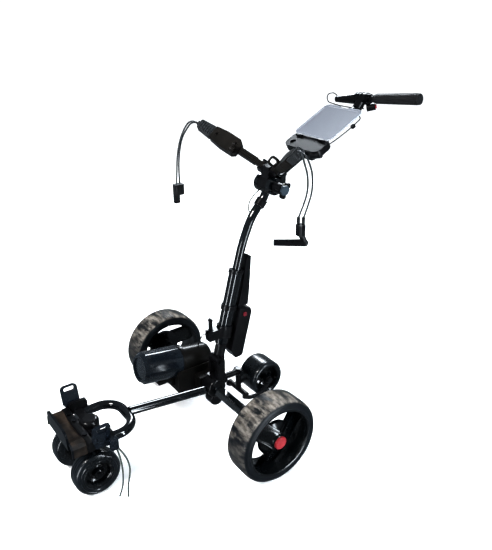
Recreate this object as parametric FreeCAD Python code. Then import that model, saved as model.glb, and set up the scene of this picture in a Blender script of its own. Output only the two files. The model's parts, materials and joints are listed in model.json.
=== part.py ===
import FreeCAD, Part
import math
import os
from FreeCAD import Vector

# Electric golf cart without its bag. Millimetres, +Z up, front towards -Y, left side +X.
# Every shape is built with the rear axle at y = 0 and moved by REAR_AXLE_Y when it is written.

REAR_AXLE_Y = -66.0
CLEAR = 0.5

# Rear wheels
WHEEL_X = 316.0
WHEEL_R = 135.0
WHEEL_HALF = 45.0
BEAD_R = 106.0
BARREL_T = 6.0
SPOKES = 3
SPOKE_WIDTH = 60.0
SPOKE_START = 50.0
RIB_T = 4.0
WEB_R = 56.0
HUB_R = 24.0
CAP_R = 20.0
AXLE_R = 8.0
RUNNING = 0.05

# Front wheels and caster
FRONT_X = 73.5
FRONT_Y = -454.0
FRONT_R = 70.0
FRONT_HALF = 27.0
CASTER_Y = -430.0
KINGPIN_R = 9.0
FRONT_AXLE_R = 5.0

# Anti-tip wheel
TIP_Y = 201.5
TIP_Z = 103.0
TIP_R = 63.0
TIP_HALF = 44.0

# Bag base
BEAM_HALF = 98.0
TRAY_FRONT = -522.0
TRAY_BACK = -478.0
LIP_HALF = 72.0
LIP_TOP = 231.0
BLADE_HALF = 26.0
BLADE_T = 8.0
BLADE_TOP = 72.0
BLADE_LEAN = 14.0
BLADE_HINGE = Vector(0, -438, 182)

# Keel and fork tube
KEEL_R = 14.0
KEEL_WALL = 2.0
KEEL_FRONT = Vector(0, -302, 166)
KEEL_REAR = Vector(0, -10, 128)
FORK_HALF = 79.0
FORK_BEND_R = 58.0
FORK_BACK_Y = -314.0
FORK_FRONT_Y = -416.0

# Motor
MOTOR_X = -120.0
MOTOR_FRONT = Vector(MOTOR_X, -203, 216)
MOTOR_REAR = Vector(MOTOR_X, 55, 176)
MOTOR_R = 54.0
MOTOR_SIDES = 10

# Mast
FOLD = Vector(0, 20, 231)
MAST_BASE = Vector(0, 30, 254)
MAST_SLEEVE = Vector(0, 98, 520)
MAST_HALF_X = 16.0
MAST_HALF_Y = 23.0
MAST_WALL = 2.5
UPPER_R = 13.5
HUB = Vector(0, 222, 787)
HUB_R_DRUM = 26.0
HUB_BOLT_R = 6.0
HUB_HALF = 21.0

# Arms for the top of the bag
ARM_ROOT = Vector(31, 225, 838)
ARM_DIR = Vector(0.836, -0.363, 0.412)
ARM_NORMAL = Vector(0, 0.750, 0.661)
ARM_LENGTH = 252.0

# Console and handle, tilted about X
TILT = 27.7
LID_FRONT = Vector(0, 392, 909)
LID_HALF = 83.0
LID_LENGTH = 163.0
HINGE_Y = -4.0
HINGE_Z = 2.7
HANDLE_TUBE_R = 12.0
HANDLE_DROP = 29.0
HANDLE_LENGTH = 226.0
KNUCKLE = Vector(0, 612, 1008)
GRIP_END = Vector(203, 640, 1029)

CORD_R = 2.7
CORD_FORK = Vector(222, 166, 752)
CORD_BLOCK = Vector(-234, 40, 764)
LEAD_R = 1.8


def v(x, y, z):
    """A short name for a vector."""
    return Vector(x, y, z)


def box(low, high):
    """An upright box between two corners."""
    return Part.makeBox(high[0] - low[0], high[1] - low[1], high[2] - low[2], v(*low))


def rod(start, end, radius):
    """A solid cylinder between two points."""
    line = end - start
    return Part.makeCylinder(radius, line.Length, start, line)


def pipe(start, end, radius, wall):
    """A hollow cylinder between two points."""
    return rod(start, end, radius).cut(rod(start, end, radius - wall))


def cone(start, end, r_start, r_end):
    """A tapered rod between two points."""
    line = end - start
    return Part.makeCone(r_start, r_end, line.Length, start, line)


def ball(centre, radius):
    """A ball about a centre."""
    return Part.makeSphere(radius, centre)


def mirror_x(shape):
    """The shape on the other side of the cart."""
    return shape.mirror(v(0, 0, 0), v(1, 0, 0))


def polygon(points):
    """A flat face with straight edges."""
    return Part.Face(Part.makePolygon(points + [points[0]]))


def side_plate(points_yz, x_low, x_high):
    """A side outline of (y, z) points with a thickness along X."""
    face = polygon([v(x_low, y, z) for y, z in points_yz])
    return face.extrude(v(x_high - x_low, 0, 0))


def rounded(shape, radius, direction):
    """Fillet every straight edge of the shape that runs along the direction."""
    edges = []
    for edge in shape.Edges:
        if isinstance(edge.Curve, Part.Line) and abs(edge.Curve.Direction.dot(direction)) > 0.999:
            edges.append(edge)
    return shape.makeFillet(radius, edges)


def turned(profile, centre):
    """Revolve a profile of (x, radius) points about the X direction through the centre."""
    face = polygon([v(x, 0, r) for x, r in profile])
    solid = face.revolve(v(0, 0, 0), v(1, 0, 0), 360)
    solid.translate(centre)
    return solid


def stadium(centre, half_x, half_y, length, lean):
    """An upright bar of oval section, leaning back by the given angle about X."""
    flat = max(half_x, half_y) - min(half_x, half_y)
    narrow = min(half_x, half_y)
    ends = []
    for side in (-1, 1):
        end = Part.makeCylinder(narrow, length, v(0, side * flat, 0))
        ends.append(end)
    core = box((-narrow, -flat, 0), (narrow, flat, length))
    bar = core.fuse(ends).removeSplitter()
    bar.rotate(v(0, 0, 0), v(1, 0, 0), lean)
    bar.translate(centre)
    return bar


def bent_wire(points, factor=0.45):
    """Straight runs joined by tangent arcs, each radius set by its shorter run."""
    radii = []
    edges = []
    at = points[0]
    for before, corner, after in zip(points, points[1:], points[2:]):
        into = (corner - before).normalize()
        out = (after - corner).normalize()
        turn = into.getAngle(out)
        shorter = min((corner - before).Length, (after - corner).Length)
        setback = factor * shorter
        radius = setback / math.tan(turn / 2)
        start = corner - into * setback
        end = corner + out * setback
        bisector = (out - into).normalize()
        middle = corner + bisector * (radius / math.cos(turn / 2) - radius)
        edges.append(Part.LineSegment(at, start).toShape())
        edges.append(Part.Arc(start, middle, end).toShape())
        radii.append(radius)
        at = end
    edges.append(Part.LineSegment(at, points[-1]).toShape())
    return Part.Wire(edges), radii


def swept(wire, radius, start, direction):
    """A round bar along a wire."""
    section = Part.Wire([Part.Circle(start, direction, radius).toShape()])
    return wire.makePipeShell([section], True, False)


def cord(name, points, radius=CORD_R):
    """A cord laid along its points, with its radii and volume printed as a check."""
    wire, radii = bent_wire(points)
    solid = swept(wire, radius, points[0], points[1] - points[0])
    expected = math.pi * radius**2 * wire.Length
    print(f"{name}: length {wire.Length:.1f}, least radius {min(radii):.1f}, "
          f"volume ratio {solid.Volume / expected:.4f}")
    return solid


def console_frame(shape):
    """Move a shape from the console's own flat frame to its tilted place."""
    placed = shape.copy()
    placed.rotate(v(0, 0, 0), v(1, 0, 0), TILT)
    placed.translate(LID_FRONT)
    return placed


def in_console(x, y, z):
    """A point of the console's flat frame in its tilted place."""
    a = math.radians(TILT)
    return LID_FRONT + v(x, y * math.cos(a) - z * math.sin(a), y * math.sin(a) + z * math.cos(a))


def rear_spoke(inner):
    """One broad spoke standing up from the hub, with a rib near each edge."""
    side = SPOKE_WIDTH / 2
    web = polygon([v(34, -side, 18), v(22, -side, 18), v(-18, -side, inner + 2), v(-6, -side, inner + 2)])
    ribs = []
    for y in (-side + RIB_T, side - 2 * RIB_T):
        rib = polygon([v(39, y, 20), v(26, y, 20), v(-12, y, inner + 1), v(8, y, inner + 1)])
        ribs.append(rib.extrude(v(0, RIB_T, 0)))
    return web.extrude(v(0, SPOKE_WIDTH, 0)).fuse(ribs)


def rear_wheel():
    """The left rear wheel about its own centre, outer face towards +X."""
    half = WHEEL_HALF
    shoulder = half - 5
    tyre = turned([(-shoulder, BEAD_R), (shoulder, BEAD_R), (half, 111), (half, 122), (shoulder, 130),
                   (half - 15, 134), (0, WHEEL_R), (15 - half, 134), (-shoulder, 130), (-half, 122),
                   (-half, 111)], v(0, 0, 0))
    inner = BEAD_R - BARREL_T
    barrel = turned([(-shoulder, BEAD_R), (-half, 111), (-half, 105), (-shoulder, inner),
                     (shoulder, inner), (half, 105), (half, 111), (shoulder, BEAD_R)], v(0, 0, 0))
    disc = turned([(34, 18), (22, 18), (22 - (WEB_R - 18) / 2.1, WEB_R), (34 - (WEB_R - 18) / 2.1, WEB_R)],
                  v(0, 0, 0))
    parts = [rod(v(-30, 0, 0), v(half - 7, 0, 0), HUB_R), disc]
    for i in range(SPOKES):
        spoke = rear_spoke(inner)
        spoke.rotate(v(0, 0, 0), v(1, 0, 0), 360 / SPOKES * i + SPOKE_START)
        parts.append(spoke)
    rim = barrel.fuse(parts).removeSplitter()
    rim = rim.cut(rod(v(-60, 0, 0), v(24, 0, 0), AXLE_R))
    cap = rod(v(half - 7, 0, 0), v(half + 1, 0, 0), CAP_R)
    cap = cap.makeFillet(3, [e for e in cap.Edges if e.BoundBox.XMin > half])
    return tyre, rim, cap


def rear_wheels(nodes):
    """Both rear wheels, each with the half axle that turns with it."""
    centre = v(WHEEL_X, 0, WHEEL_R)
    tyre, rim, cap = rear_wheel()
    for shape in (tyre, rim, cap):
        shape.translate(centre)
    axle_end = v(WHEEL_X + 24, 0, WHEEL_R)
    left_axle = rod(v(34, 0, WHEEL_R), axle_end, AXLE_R)
    right_axle = rod(v(-182, 0, WHEEL_R), v(-axle_end.x, 0, WHEEL_R), AXLE_R)
    nodes["rear_tyre_left"] = tyre
    nodes["rear_tyre_right"] = mirror_x(tyre)
    nodes["rear_rim_left"] = Part.makeCompound([rim, left_axle])
    nodes["rear_rim_right"] = Part.makeCompound([mirror_x(rim), right_axle])
    nodes["rear_hub_cap_left"] = cap
    nodes["rear_hub_cap_right"] = mirror_x(cap)


def small_tyre(half, radius, bead, groove):
    """A tyre with rounded shoulders and grooves at the given places across its tread."""
    shoulder = half - 6
    profile = [(-half + 4, bead), (half - 4, bead), (half, bead + 6), (half, radius - 16),
               (half - 2, radius - 8), (shoulder, radius - 3), (shoulder - 6, radius),
               (-shoulder + 6, radius), (-shoulder, radius - 3), (-half + 2, radius - 8),
               (-half, radius - 16), (-half, bead + 6)]
    tyre = turned(profile, v(0, 0, 0))
    for x in groove:
        ring = turned([(x - 1.5, radius - 2), (x + 1.5, radius - 2), (x + 1.5, radius + 2),
                       (x - 1.5, radius + 2)], v(0, 0, 0))
        tyre = tyre.cut(ring)
    return tyre


def front_wheel():
    """A front tyre and rim about their own centre."""
    tyre = small_tyre(FRONT_HALF, FRONT_R, 40, (-9, 0, 9))
    rim = turned([(-23, 40), (-27, 46), (-27, 41), (-22, 35), (-4, 33), (-4, 13), (-20, 13),
                  (-20, FRONT_AXLE_R + RUNNING), (24, FRONT_AXLE_R + RUNNING), (24, 13), (6, 13),
                  (6, 33), (22, 35), (27, 41), (27, 46), (23, 40)], v(0, 0, 0))
    return tyre, rim


def caster(nodes):
    """The swivelling front fork with its two wheels."""
    tyre, rim = front_wheel()
    for shape, part in ((tyre, "tyre"), (rim, "rim")):
        shape.translate(v(FRONT_X, FRONT_Y, FRONT_R))
        nodes[f"front_{part}_left"] = shape
        nodes[f"front_{part}_right"] = mirror_x(shape)
    end = FRONT_X + FRONT_HALF
    axle = rod(v(-end - 2, FRONT_Y, FRONT_R), v(end + 2, FRONT_Y, FRONT_R), FRONT_AXLE_R)
    nuts = [rod(v(s * (end - 2.5), FRONT_Y, FRONT_R), v(s * (end + 3), FRONT_Y, FRONT_R), 9) for s in (-1, 1)]
    axle = axle.fuse(nuts).removeSplitter()
    low = FRONT_Y - 22
    body = side_plate([(low, 54), (low + 40, 54), (low + 72, 112), (low + 72, 139), (low + 18, 139),
                       (low, 96)], -34, 34)
    body = rounded(body, 6, v(1, 0, 0))
    hubs = rod(v(-FRONT_X + 22, FRONT_Y, FRONT_R), v(FRONT_X - 22, FRONT_Y, FRONT_R), 12)
    body = body.fuse(hubs).cut(rod(v(-60, FRONT_Y, FRONT_R), v(60, FRONT_Y, FRONT_R), FRONT_AXLE_R))
    nodes["caster_fork"] = body.cut(rod(v(0, CASTER_Y, 112), v(0, CASTER_Y, 150), KINGPIN_R))
    pin = rod(v(0, CASTER_Y, 112), v(0, CASTER_Y, 192), KINGPIN_R)
    pin = pin.fuse(rod(v(0, CASTER_Y, 139), v(0, CASTER_Y, 142), 24)).removeSplitter()
    nodes["caster_pins"] = Part.makeCompound([axle, pin])


def bag_tray():
    """The dished shell the bag's foot stands on, turned down at both sides, with its front lip."""
    top = [(0, 181), (40, 184), (70, 195), (86, 195), (95, 185), (96, 158)]
    under = [(92, 158), (91, 184), (85, 191), (71, 191), (40, 180), (0, 177)]
    half = [v(x, TRAY_FRONT, z) for x, z in top + under]
    shell = polygon(half).extrude(v(0, TRAY_BACK - TRAY_FRONT, 0))
    lip = side_plate([(-524, 172), (-517, 172), (-521, LIP_TOP), (-528, LIP_TOP)], -LIP_HALF, LIP_HALF)
    outline = box((-LIP_HALF, -540, 130), (LIP_HALF, -500, LIP_TOP))
    lip = lip.common(rounded(outline, 22, v(0, 1, 0)))
    return shell.fuse([mirror_x(shell), lip]).removeSplitter()


def bag_base(nodes):
    """The casting over the caster, with its brackets and the tray for the bag's foot."""
    fork = fork_solid(KEEL_R)
    housing = rod(v(0, CASTER_Y, 142.5), v(0, CASTER_Y, 199), 29)
    housing = housing.makeFillet(12, [e for e in housing.Edges if e.BoundBox.ZMin > 198])
    beam = rounded(box((-BEAM_HALF, -478, 160), (BEAM_HALF, -454, 190)), 7, v(1, 0, 0))
    bridge = box((-FORK_HALF - 6, -444, 152), (FORK_HALF + 6, -417, 178))
    foot = box((-40, -455, 162), (40, -440, 176))
    bore = rod(v(0, CASTER_Y, 130), v(0, CASTER_Y, 192.6), KINGPIN_R + RUNNING)
    frame = beam.fuse([bridge, foot, housing]).removeSplitter().cut(fork).cut(bore)
    bracket = rounded(box((86, -453.8, 166), (BEAM_HALF, -398, 204)), 8, v(1, 0, 0)).cut(fork)
    bracket = bracket.cut(rod(BLADE_HINGE + v(80, 0, 0), BLADE_HINGE + v(110, 0, 0), 4))
    nodes["base_frame"] = Part.makeCompound([frame, bracket, mirror_x(bracket)])
    nodes["base_tray"] = bag_tray()


def lower_arm():
    """The left swing arm at the bag's foot, a leaning blade with a strap slot, and its hinge pin."""
    blade = rounded(box((0, -BLADE_HALF, 4), (BLADE_T, BLADE_HALF, BLADE_TOP)), 13, v(1, 0, 0))
    slot = rounded(box((-5, -16, BLADE_TOP - 19), (20, 16, BLADE_TOP - 6)), 5, v(1, 0, 0))
    rib = rounded(box((BLADE_T - 1, -12, 8), (BLADE_T + 3, 12, BLADE_TOP - 24)), 4, v(1, 0, 0))
    blade = blade.fuse(rib).cut(slot)
    blade.rotate(v(0, 0, 0), v(0, 1, 0), BLADE_LEAN)
    blade.translate(BLADE_HINGE + v(99, -2, 0))
    foot = rounded(box((98.5, -459, 168), (109, -417, 202)), 8, v(1, 0, 0))
    arm = foot.fuse(blade).removeSplitter()
    arm = arm.cut(rod(BLADE_HINGE + v(80, 0, 0), BLADE_HINGE + v(106.4, 0, 0), 4 + RUNNING))
    return arm, rod(BLADE_HINGE + v(86, 0, 0), BLADE_HINGE + v(106, 0, 0), 4)


def lower_arms(nodes):
    """Both lower arms; the left one carries the block its cords come out of."""
    arm, pin = lower_arm()
    gland = rounded(box((114, -423, 164), (136, -399, 196)), 6, v(0, 0, 1))
    link = box((106, -430, 174), (118, -412, 192))
    nodes["lower_arm_left"] = arm.fuse([link, gland]).removeSplitter()
    nodes["lower_arm_right"] = mirror_x(arm)
    return [pin, mirror_x(pin)]


def fork_wire():
    """The centre line of the closed fork tube around the caster."""
    back = FORK_BACK_Y
    z = KEEL_FRONT.z
    bend = back - FORK_BEND_R
    inner = FORK_HALF - FORK_BEND_R
    corner = FORK_BEND_R * math.sin(math.radians(45))
    left = v(FORK_HALF, FORK_FRONT_Y, z)
    edges = [Part.LineSegment(left, v(FORK_HALF, bend, z)).toShape(),
             Part.Arc(v(FORK_HALF, bend, z), v(inner + corner, bend + corner, z),
                      v(inner, back, z)).toShape(),
             Part.LineSegment(v(inner, back, z), v(-inner, back, z)).toShape(),
             Part.Arc(v(-inner, back, z), v(-inner - corner, bend + corner, z),
                      v(-FORK_HALF, bend, z)).toShape(),
             Part.LineSegment(v(-FORK_HALF, bend, z), v(-FORK_HALF, FORK_FRONT_Y, z)).toShape()]
    return Part.Wire(edges)


def fork_solid(radius):
    """The fork tube as a solid bar of the given radius."""
    return swept(fork_wire(), radius, v(FORK_HALF, FORK_FRONT_Y, KEEL_FRONT.z), v(0, 1, 0))


def chassis(nodes):
    """Keel, fork tube, rear hub and axle housings, with the fold pin and bushings."""
    fork = fork_solid(KEEL_R)
    nodes["fork_tube"] = fork.cut(fork_solid(KEEL_R - KEEL_WALL))
    keel = rod(KEEL_FRONT, KEEL_REAR, KEEL_R).cut(fork)
    nodes["keel_tube"] = keel.cut(rod(KEEL_FRONT, KEEL_REAR, KEEL_R - KEEL_WALL))
    low = rod(v(-27, 4, 136), v(27, 4, 136), 33)
    low = low.makeFillet(7, [e for e in low.Edges if e.Length > 100])
    lump = rod(v(-20, 4, 92), v(24, 4, 92), 24)
    lump = lump.makeFillet(7, [e for e in lump.Edges if e.Length > 100])
    neck = rounded(box((-22, -8, 150), (22, 40, 176)), 8, v(0, 0, 1))
    boss = rod(v(0, 24, 140), v(0, 50, 150), 17)
    parts = [lump, neck, boss]
    for side in (-1, 1):
        inside, outside = sorted((side * 13.0, side * 25.0))
        parts.append(box((inside, FOLD.y - 15, 166), (outside, FOLD.y + 15, FOLD.z)))
        parts.append(rod(v(inside, FOLD.y, FOLD.z), v(outside, FOLD.y, FOLD.z), 15))
    hub = low.fuse(parts).removeSplitter().cut(keel)
    nodes["rear_hub"] = hub.cut(rod(v(-30, FOLD.y, FOLD.z), v(30, FOLD.y, FOLD.z), 6))
    pin = rod(v(-28, FOLD.y, FOLD.z), v(28, FOLD.y, FOLD.z), 6)
    heads = [rod(v(s * 25, FOLD.y, FOLD.z), v(s * 31, FOLD.y, FOLD.z), 9) for s in (-1, 1)]
    housings = []
    for low_x, high_x in ((27, WHEEL_X - 48), (48 - WHEEL_X, -178)):
        outer = rounded(box((low_x, -13, 120), (high_x, 13, 150)), 4, v(1, 0, 0))
        housings.append(outer.cut(box((low_x, -10, 123), (high_x, 10, 147))))
    stay = rod(v(222, 18, 150), v(120, 84, 124), 5)
    housings.append(stay)
    nodes["axle_housings"] = Part.makeCompound(housings)
    bushings = []
    for x in (28.0, WHEEL_X - 60, 48 - WHEEL_X, -192.0):
        bush = box((x, -10, 123), (x + 12, 10, 147))
        bushings.append(bush.cut(rod(v(x, 0, WHEEL_R), v(x + 12, 0, WHEEL_R), AXLE_R + RUNNING)))
    return [pin.fuse(heads).removeSplitter()], bushings


def motor(nodes):
    """The motor can, its clamp band and the gearbox case below it."""
    line = (MOTOR_REAR - MOTOR_FRONT).normalize()
    length = (MOTOR_REAR - MOTOR_FRONT).Length

    def at(distance):
        return MOTOR_FRONT + line * distance

    across = v(1, 0, 0)
    up = line.cross(across)
    corners = []
    for i in range(MOTOR_SIDES):
        angle = 2 * math.pi * i / MOTOR_SIDES
        corners.append(at(12) + (across * math.cos(angle) + up * math.sin(angle)) * (MOTOR_R * 1.03))
    can = polygon(corners).extrude(line * 126).common(rod(at(0), at(138), MOTOR_R))
    cap = cone(at(0), at(12.5), MOTOR_R - 9, MOTOR_R - 2).cut(rod(at(-1), at(5), MOTOR_R - 17))
    nodes["motor_front"] = can.fuse(cap).removeSplitter()
    lug = rod(at(146) + v(-4, 0, MOTOR_R - 2), at(146) + v(16, 0, MOTOR_R - 2), 4)
    nodes["motor_band"] = pipe(at(140), at(152), MOTOR_R - 1, 5).fuse(lug).removeSplitter()
    rear = rod(at(138), at(length), MOTOR_R - 6)
    rear = rear.makeFillet(20, [e for e in rear.Edges if e.BoundBox.YMin > at(length - 8).y])
    nodes["motor_rear"] = rear.cut(nodes["motor_band"])
    whole = rod(at(0), at(length), MOTOR_R).fuse(nodes["motor_band"])
    case = rounded(box((-178, -92, 100), (-62, 40, 186)), 10, v(1, 0, 0))
    link = box((-66, -30, 112), (-27, 36, 160))
    foot = box((-150, -150, 145), (-90, -92, 157)).fuse(box((-150, -104, 126), (-90, -90, 157)))
    nodes["gearbox_case"] = case.fuse([link, foot]).removeSplitter().cut(whole)


def anti_tip(nodes):
    """The wheel behind the rear hub with its yoke, and the pins and bolts that hold it."""
    centre = v(0, TIP_Y, TIP_Z)
    tyre = small_tyre(TIP_HALF, TIP_R, 48, (26,))
    edge = TIP_HALF
    rim = turned([(4 - edge, 48), (-edge, 54), (-edge, 49), (5 - edge, 44), (10, 44), (10, 12), (-30, 12),
                  (-30, 6 + RUNNING), (edge - 1, 6 + RUNNING), (edge - 1, 12), (14, 12), (14, 44),
                  (edge - 5, 44), (edge, 49), (edge, 54), (edge - 4, 48)], v(0, 0, 0))
    for i in range(8):
        hole = Part.makeCylinder(8, 60, v(-20, 0, 29), v(1, 0, 0))
        hole.rotate(v(0, 0, 0), v(1, 0, 0), 45 * i)
        rim = rim.cut(hole)
    for name, shape in (("tip_tyre", tyre), ("tip_rim", rim)):
        shape.translate(centre)
        nodes[name] = shape
    axle = rod(centre - v(edge + 8, 0, 0), centre + v(edge + 8, 0, 0), 6)
    heads = [rod(centre + v(s * (edge + 6.5), 0, 0), centre + v(s * (edge + 11), 0, 0), 10) for s in (-1, 1)]
    post = rod(v(0, 106, 78), v(0, 106, 164), 10).fuse(rod(v(-15, 106, 150), v(15, 106, 150), 13))
    cross = rod(v(-edge - 6.5, 104, 83), v(edge + 6.5, 104, 83), 9)
    arm = rod(v(0, 44, 152), v(0, 106, 150), 11)
    straps = []
    for x in (edge + 1.5, -edge - 6.5):
        middle = v(x, 139.5, 135.6)
        ring = Part.makeCylinder(79, 5, middle, v(1, 0, 0)).cut(Part.makeCylinder(66, 5, middle, v(1, 0, 0)))
        ring = ring.common(box((x, 90, 50), (x + 5, TIP_Y + 4, TIP_Z)))
        eye = Part.makeCylinder(13, 5, v(x, TIP_Y, TIP_Z), v(1, 0, 0))
        straps.append(ring.fuse(eye).removeSplitter())
    yoke = post.fuse([cross, arm] + straps).removeSplitter().cut(nodes["rear_hub"])
    nodes["tip_yoke"] = yoke.cut(rod(centre - v(60, 0, 0), centre + v(60, 0, 0), 6))
    bolts = [rod(v(15, 106, 150), v(20, 106, 150), 8)]
    return [axle.fuse(heads).removeSplitter()], bolts


def mast_lean():
    """The lean of the lower mast about X, in degrees."""
    line = MAST_SLEEVE - MAST_BASE
    return -math.degrees(math.atan2(line.y, line.z))


def mast(nodes):
    """The lower mast with its foot, cuff, band and lever."""
    lean = mast_lean()
    line = (MAST_SLEEVE - MAST_BASE).normalize()
    length = (MAST_SLEEVE - MAST_BASE).Length
    tongue = rod(v(-12.5, FOLD.y, FOLD.z), v(12.5, FOLD.y, FOLD.z), 14)
    tongue = tongue.fuse(box((-12.5, FOLD.y - 8, FOLD.z), (12.5, FOLD.y + 22, 254)))
    foot_top = MAST_BASE + line * 34.5
    collar = rod(MAST_BASE - line * 6, foot_top, 18)
    foot = tongue.fuse(collar).removeSplitter()
    foot = foot.cut(rod(v(-20, FOLD.y, FOLD.z), v(20, FOLD.y, FOLD.z), 6 + RUNNING))
    outer = stadium(foot_top, MAST_HALF_X, MAST_HALF_Y, length - 34.5, lean)
    inner = stadium(foot_top, MAST_HALF_X - MAST_WALL, MAST_HALF_Y - MAST_WALL, length - 34.5, lean)
    nodes["mast_lower"] = outer.cut(inner)
    cuff = stadium(MAST_BASE + line * 58, MAST_HALF_X + 5, MAST_HALF_Y + 5, 40, lean)
    lug = box((-13, -14, 312), (13, 44, 346))
    cuff = cuff.fuse(lug).removeSplitter().cut(outer)
    cuff = cuff.cut(box((-6.5, -15, 334), (6.5, 8, 347)))
    band = stadium(MAST_BASE + line * 152, MAST_HALF_X + 4, MAST_HALF_Y + 4, 16, lean).cut(outer)
    pivot = rod(v(-13, -2, 340), v(13, -2, 340), 4)
    lever = box((-6, -6, 336), (6, 3, 382)).fuse(rod(v(-6, -1.5, 382), v(6, -1.5, 382), 6))
    nodes["cuff_lever"] = lever.removeSplitter().cut(rod(v(-9, -2, 340), v(9, -2, 340), 4 + RUNNING))
    cuff = cuff.cut(pivot)
    return outer, [foot, cuff, band], pivot


def mast_upper(nodes):
    """The curved upper mast, the sleeve below it and the hub casting above it."""
    top = MAST_SLEEVE
    start = top - v(0, 7.67, 30)
    points = [start, v(0, 122, 610), v(0, 158, 694), v(0, 208, 748), HUB - v(0, 4, 12)]
    wire, _ = bent_wire(points)
    outer = swept(wire, UPPER_R, points[0], points[1] - points[0])
    inner = swept(wire, UPPER_R - 2.5, points[0], points[1] - points[0])
    drum = rod(HUB - v(HUB_HALF, 0, 0), HUB + v(HUB_HALF, 0, 0), HUB_R_DRUM)
    nodes["mast_upper"] = outer.cut(inner).cut(drum)
    lean = mast_lean()
    plug = stadium(start, MAST_HALF_X - MAST_WALL, MAST_HALF_Y - MAST_WALL, 31, lean)
    cap = stadium(top, MAST_HALF_X + 2.5, MAST_HALF_Y + 2.5, 12, lean)
    sleeve = plug.fuse(cap).removeSplitter().cut(outer)
    collar = rod(v(0, 186, 724), v(0, 202, 742), UPPER_R + 4).cut(outer)
    head = side_plate([(HUB.y - 18, 800), (HUB.y + 18, 800), (238, 838), (228, 850), (213, 844)], -17, 17)
    core = drum.fuse(head).removeSplitter()
    core = core.cut(rod(HUB - v(60, 0, 0), HUB + v(60, 0, 0), HUB_BOLT_R))
    return core, [sleeve, collar]


def battery(nodes, mast_outer, castings):
    """The battery pack behind the mast and the channel above it."""
    pack = side_plate([(62, 256), (98, 400), (140, 396), (146, 374), (111, 234), (101, 226), (78, 226)],
                      -23, 23)
    pack = pack.makeFillet(5, [e for e in pack.Edges if e.Length > 30 and e.BoundBox.YMin > 76])
    channel = side_plate([(98, 404), (116, 470), (130, 560), (140, 574), (150, 570), (142, 450),
                          (137, 404)], -12, 12)
    shapes = []
    for shape in (pack, channel):
        shape = shape.cut(mast_outer).cut(nodes["mast_upper"])
        for casting in castings:
            shape = shape.cut(casting)
        shapes.append(shape)
    nodes["battery_pack"] = Part.makeCompound(shapes)
    nodes["battery_latch"] = rounded(box((23, 111, 372), (27, 122, 384)), 2, v(1, 0, 0))


def upper_hub(nodes, core):
    """The pivot for the handle, its through bolt and the clamping knob."""
    discs = []
    for low, high in ((HUB_HALF + CLEAR, 38.0), (-38.0, -HUB_HALF - CLEAR)):
        discs.append(rod(HUB + v(low, 0, 0), HUB + v(high, 0, 0), HUB_R_DRUM + 1))
    start = in_console(0, -170, -HANDLE_DROP)
    end = in_console(0, -140, -HANDLE_DROP)
    bridge = rod(start, end, 17).fuse(box((-38, HUB.y + 22, HUB.z + 6), (38, HUB.y + 40, HUB.z + 28)))
    clearance = rod(HUB - v(HUB_HALF + CLEAR, 0, 0), HUB + v(HUB_HALF + CLEAR, 0, 0), HUB_R_DRUM + 1.5)
    tube = rod(start, in_console(0, HANDLE_LENGTH, -HANDLE_DROP), HANDLE_TUBE_R)
    hollow = rod(in_console(0, -130, -HANDLE_DROP), in_console(0, HANDLE_LENGTH, -HANDLE_DROP),
                 HANDLE_TUBE_R - 2)
    yoke = discs[0].fuse([discs[1], bridge, tube]).removeSplitter().cut(clearance).cut(hollow)
    bore = rod(HUB - v(60, 0, 0), HUB + v(60, 0, 0), HUB_BOLT_R + RUNNING)
    nodes["handle_stem"] = yoke.cut(bore)
    nodes["hub_core"] = core
    bolt = rod(HUB - v(46, 0, 0), HUB + v(64, 0, 0), HUB_BOLT_R)
    bolt = bolt.fuse(rod(HUB - v(46, 0, 0), HUB - v(39, 0, 0), 16)).removeSplitter()
    knob = rod(HUB + v(40, 0, 0), HUB + v(72, 0, 0), 17).fuse(rod(HUB + v(72, 0, 0), HUB + v(78, 0, 0), 15))
    for i in range(3):
        lobe = rod(v(66, 20, 0), v(78, 20, 0), 9)
        lobe.rotate(v(0, 0, 0), v(1, 0, 0), 120 * i + 30)
        lobe.translate(HUB)
        knob = knob.fuse(lobe)
    nodes["hub_knob"] = knob.removeSplitter().cut(rod(HUB, HUB + v(64.3, 0, 0), HUB_BOLT_R + RUNNING))
    corners = [HUB + v(78, 16 * math.cos(math.radians(60 * i)), 16 * math.sin(math.radians(60 * i)))
               for i in range(6)]
    nodes["knob_cap"] = polygon(corners).extrude(v(8, 0, 0))
    return bolt


def arm_place(shape):
    """Turn a shape built along +X, with its face up, on to the left arm's root."""
    along = Vector(ARM_DIR).normalize()
    up = Vector(ARM_NORMAL).normalize()
    across = up.cross(along)
    placed = shape.copy()
    placed.Placement = FreeCAD.Placement(ARM_ROOT, FreeCAD.Rotation(along, across, up))
    return placed


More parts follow.
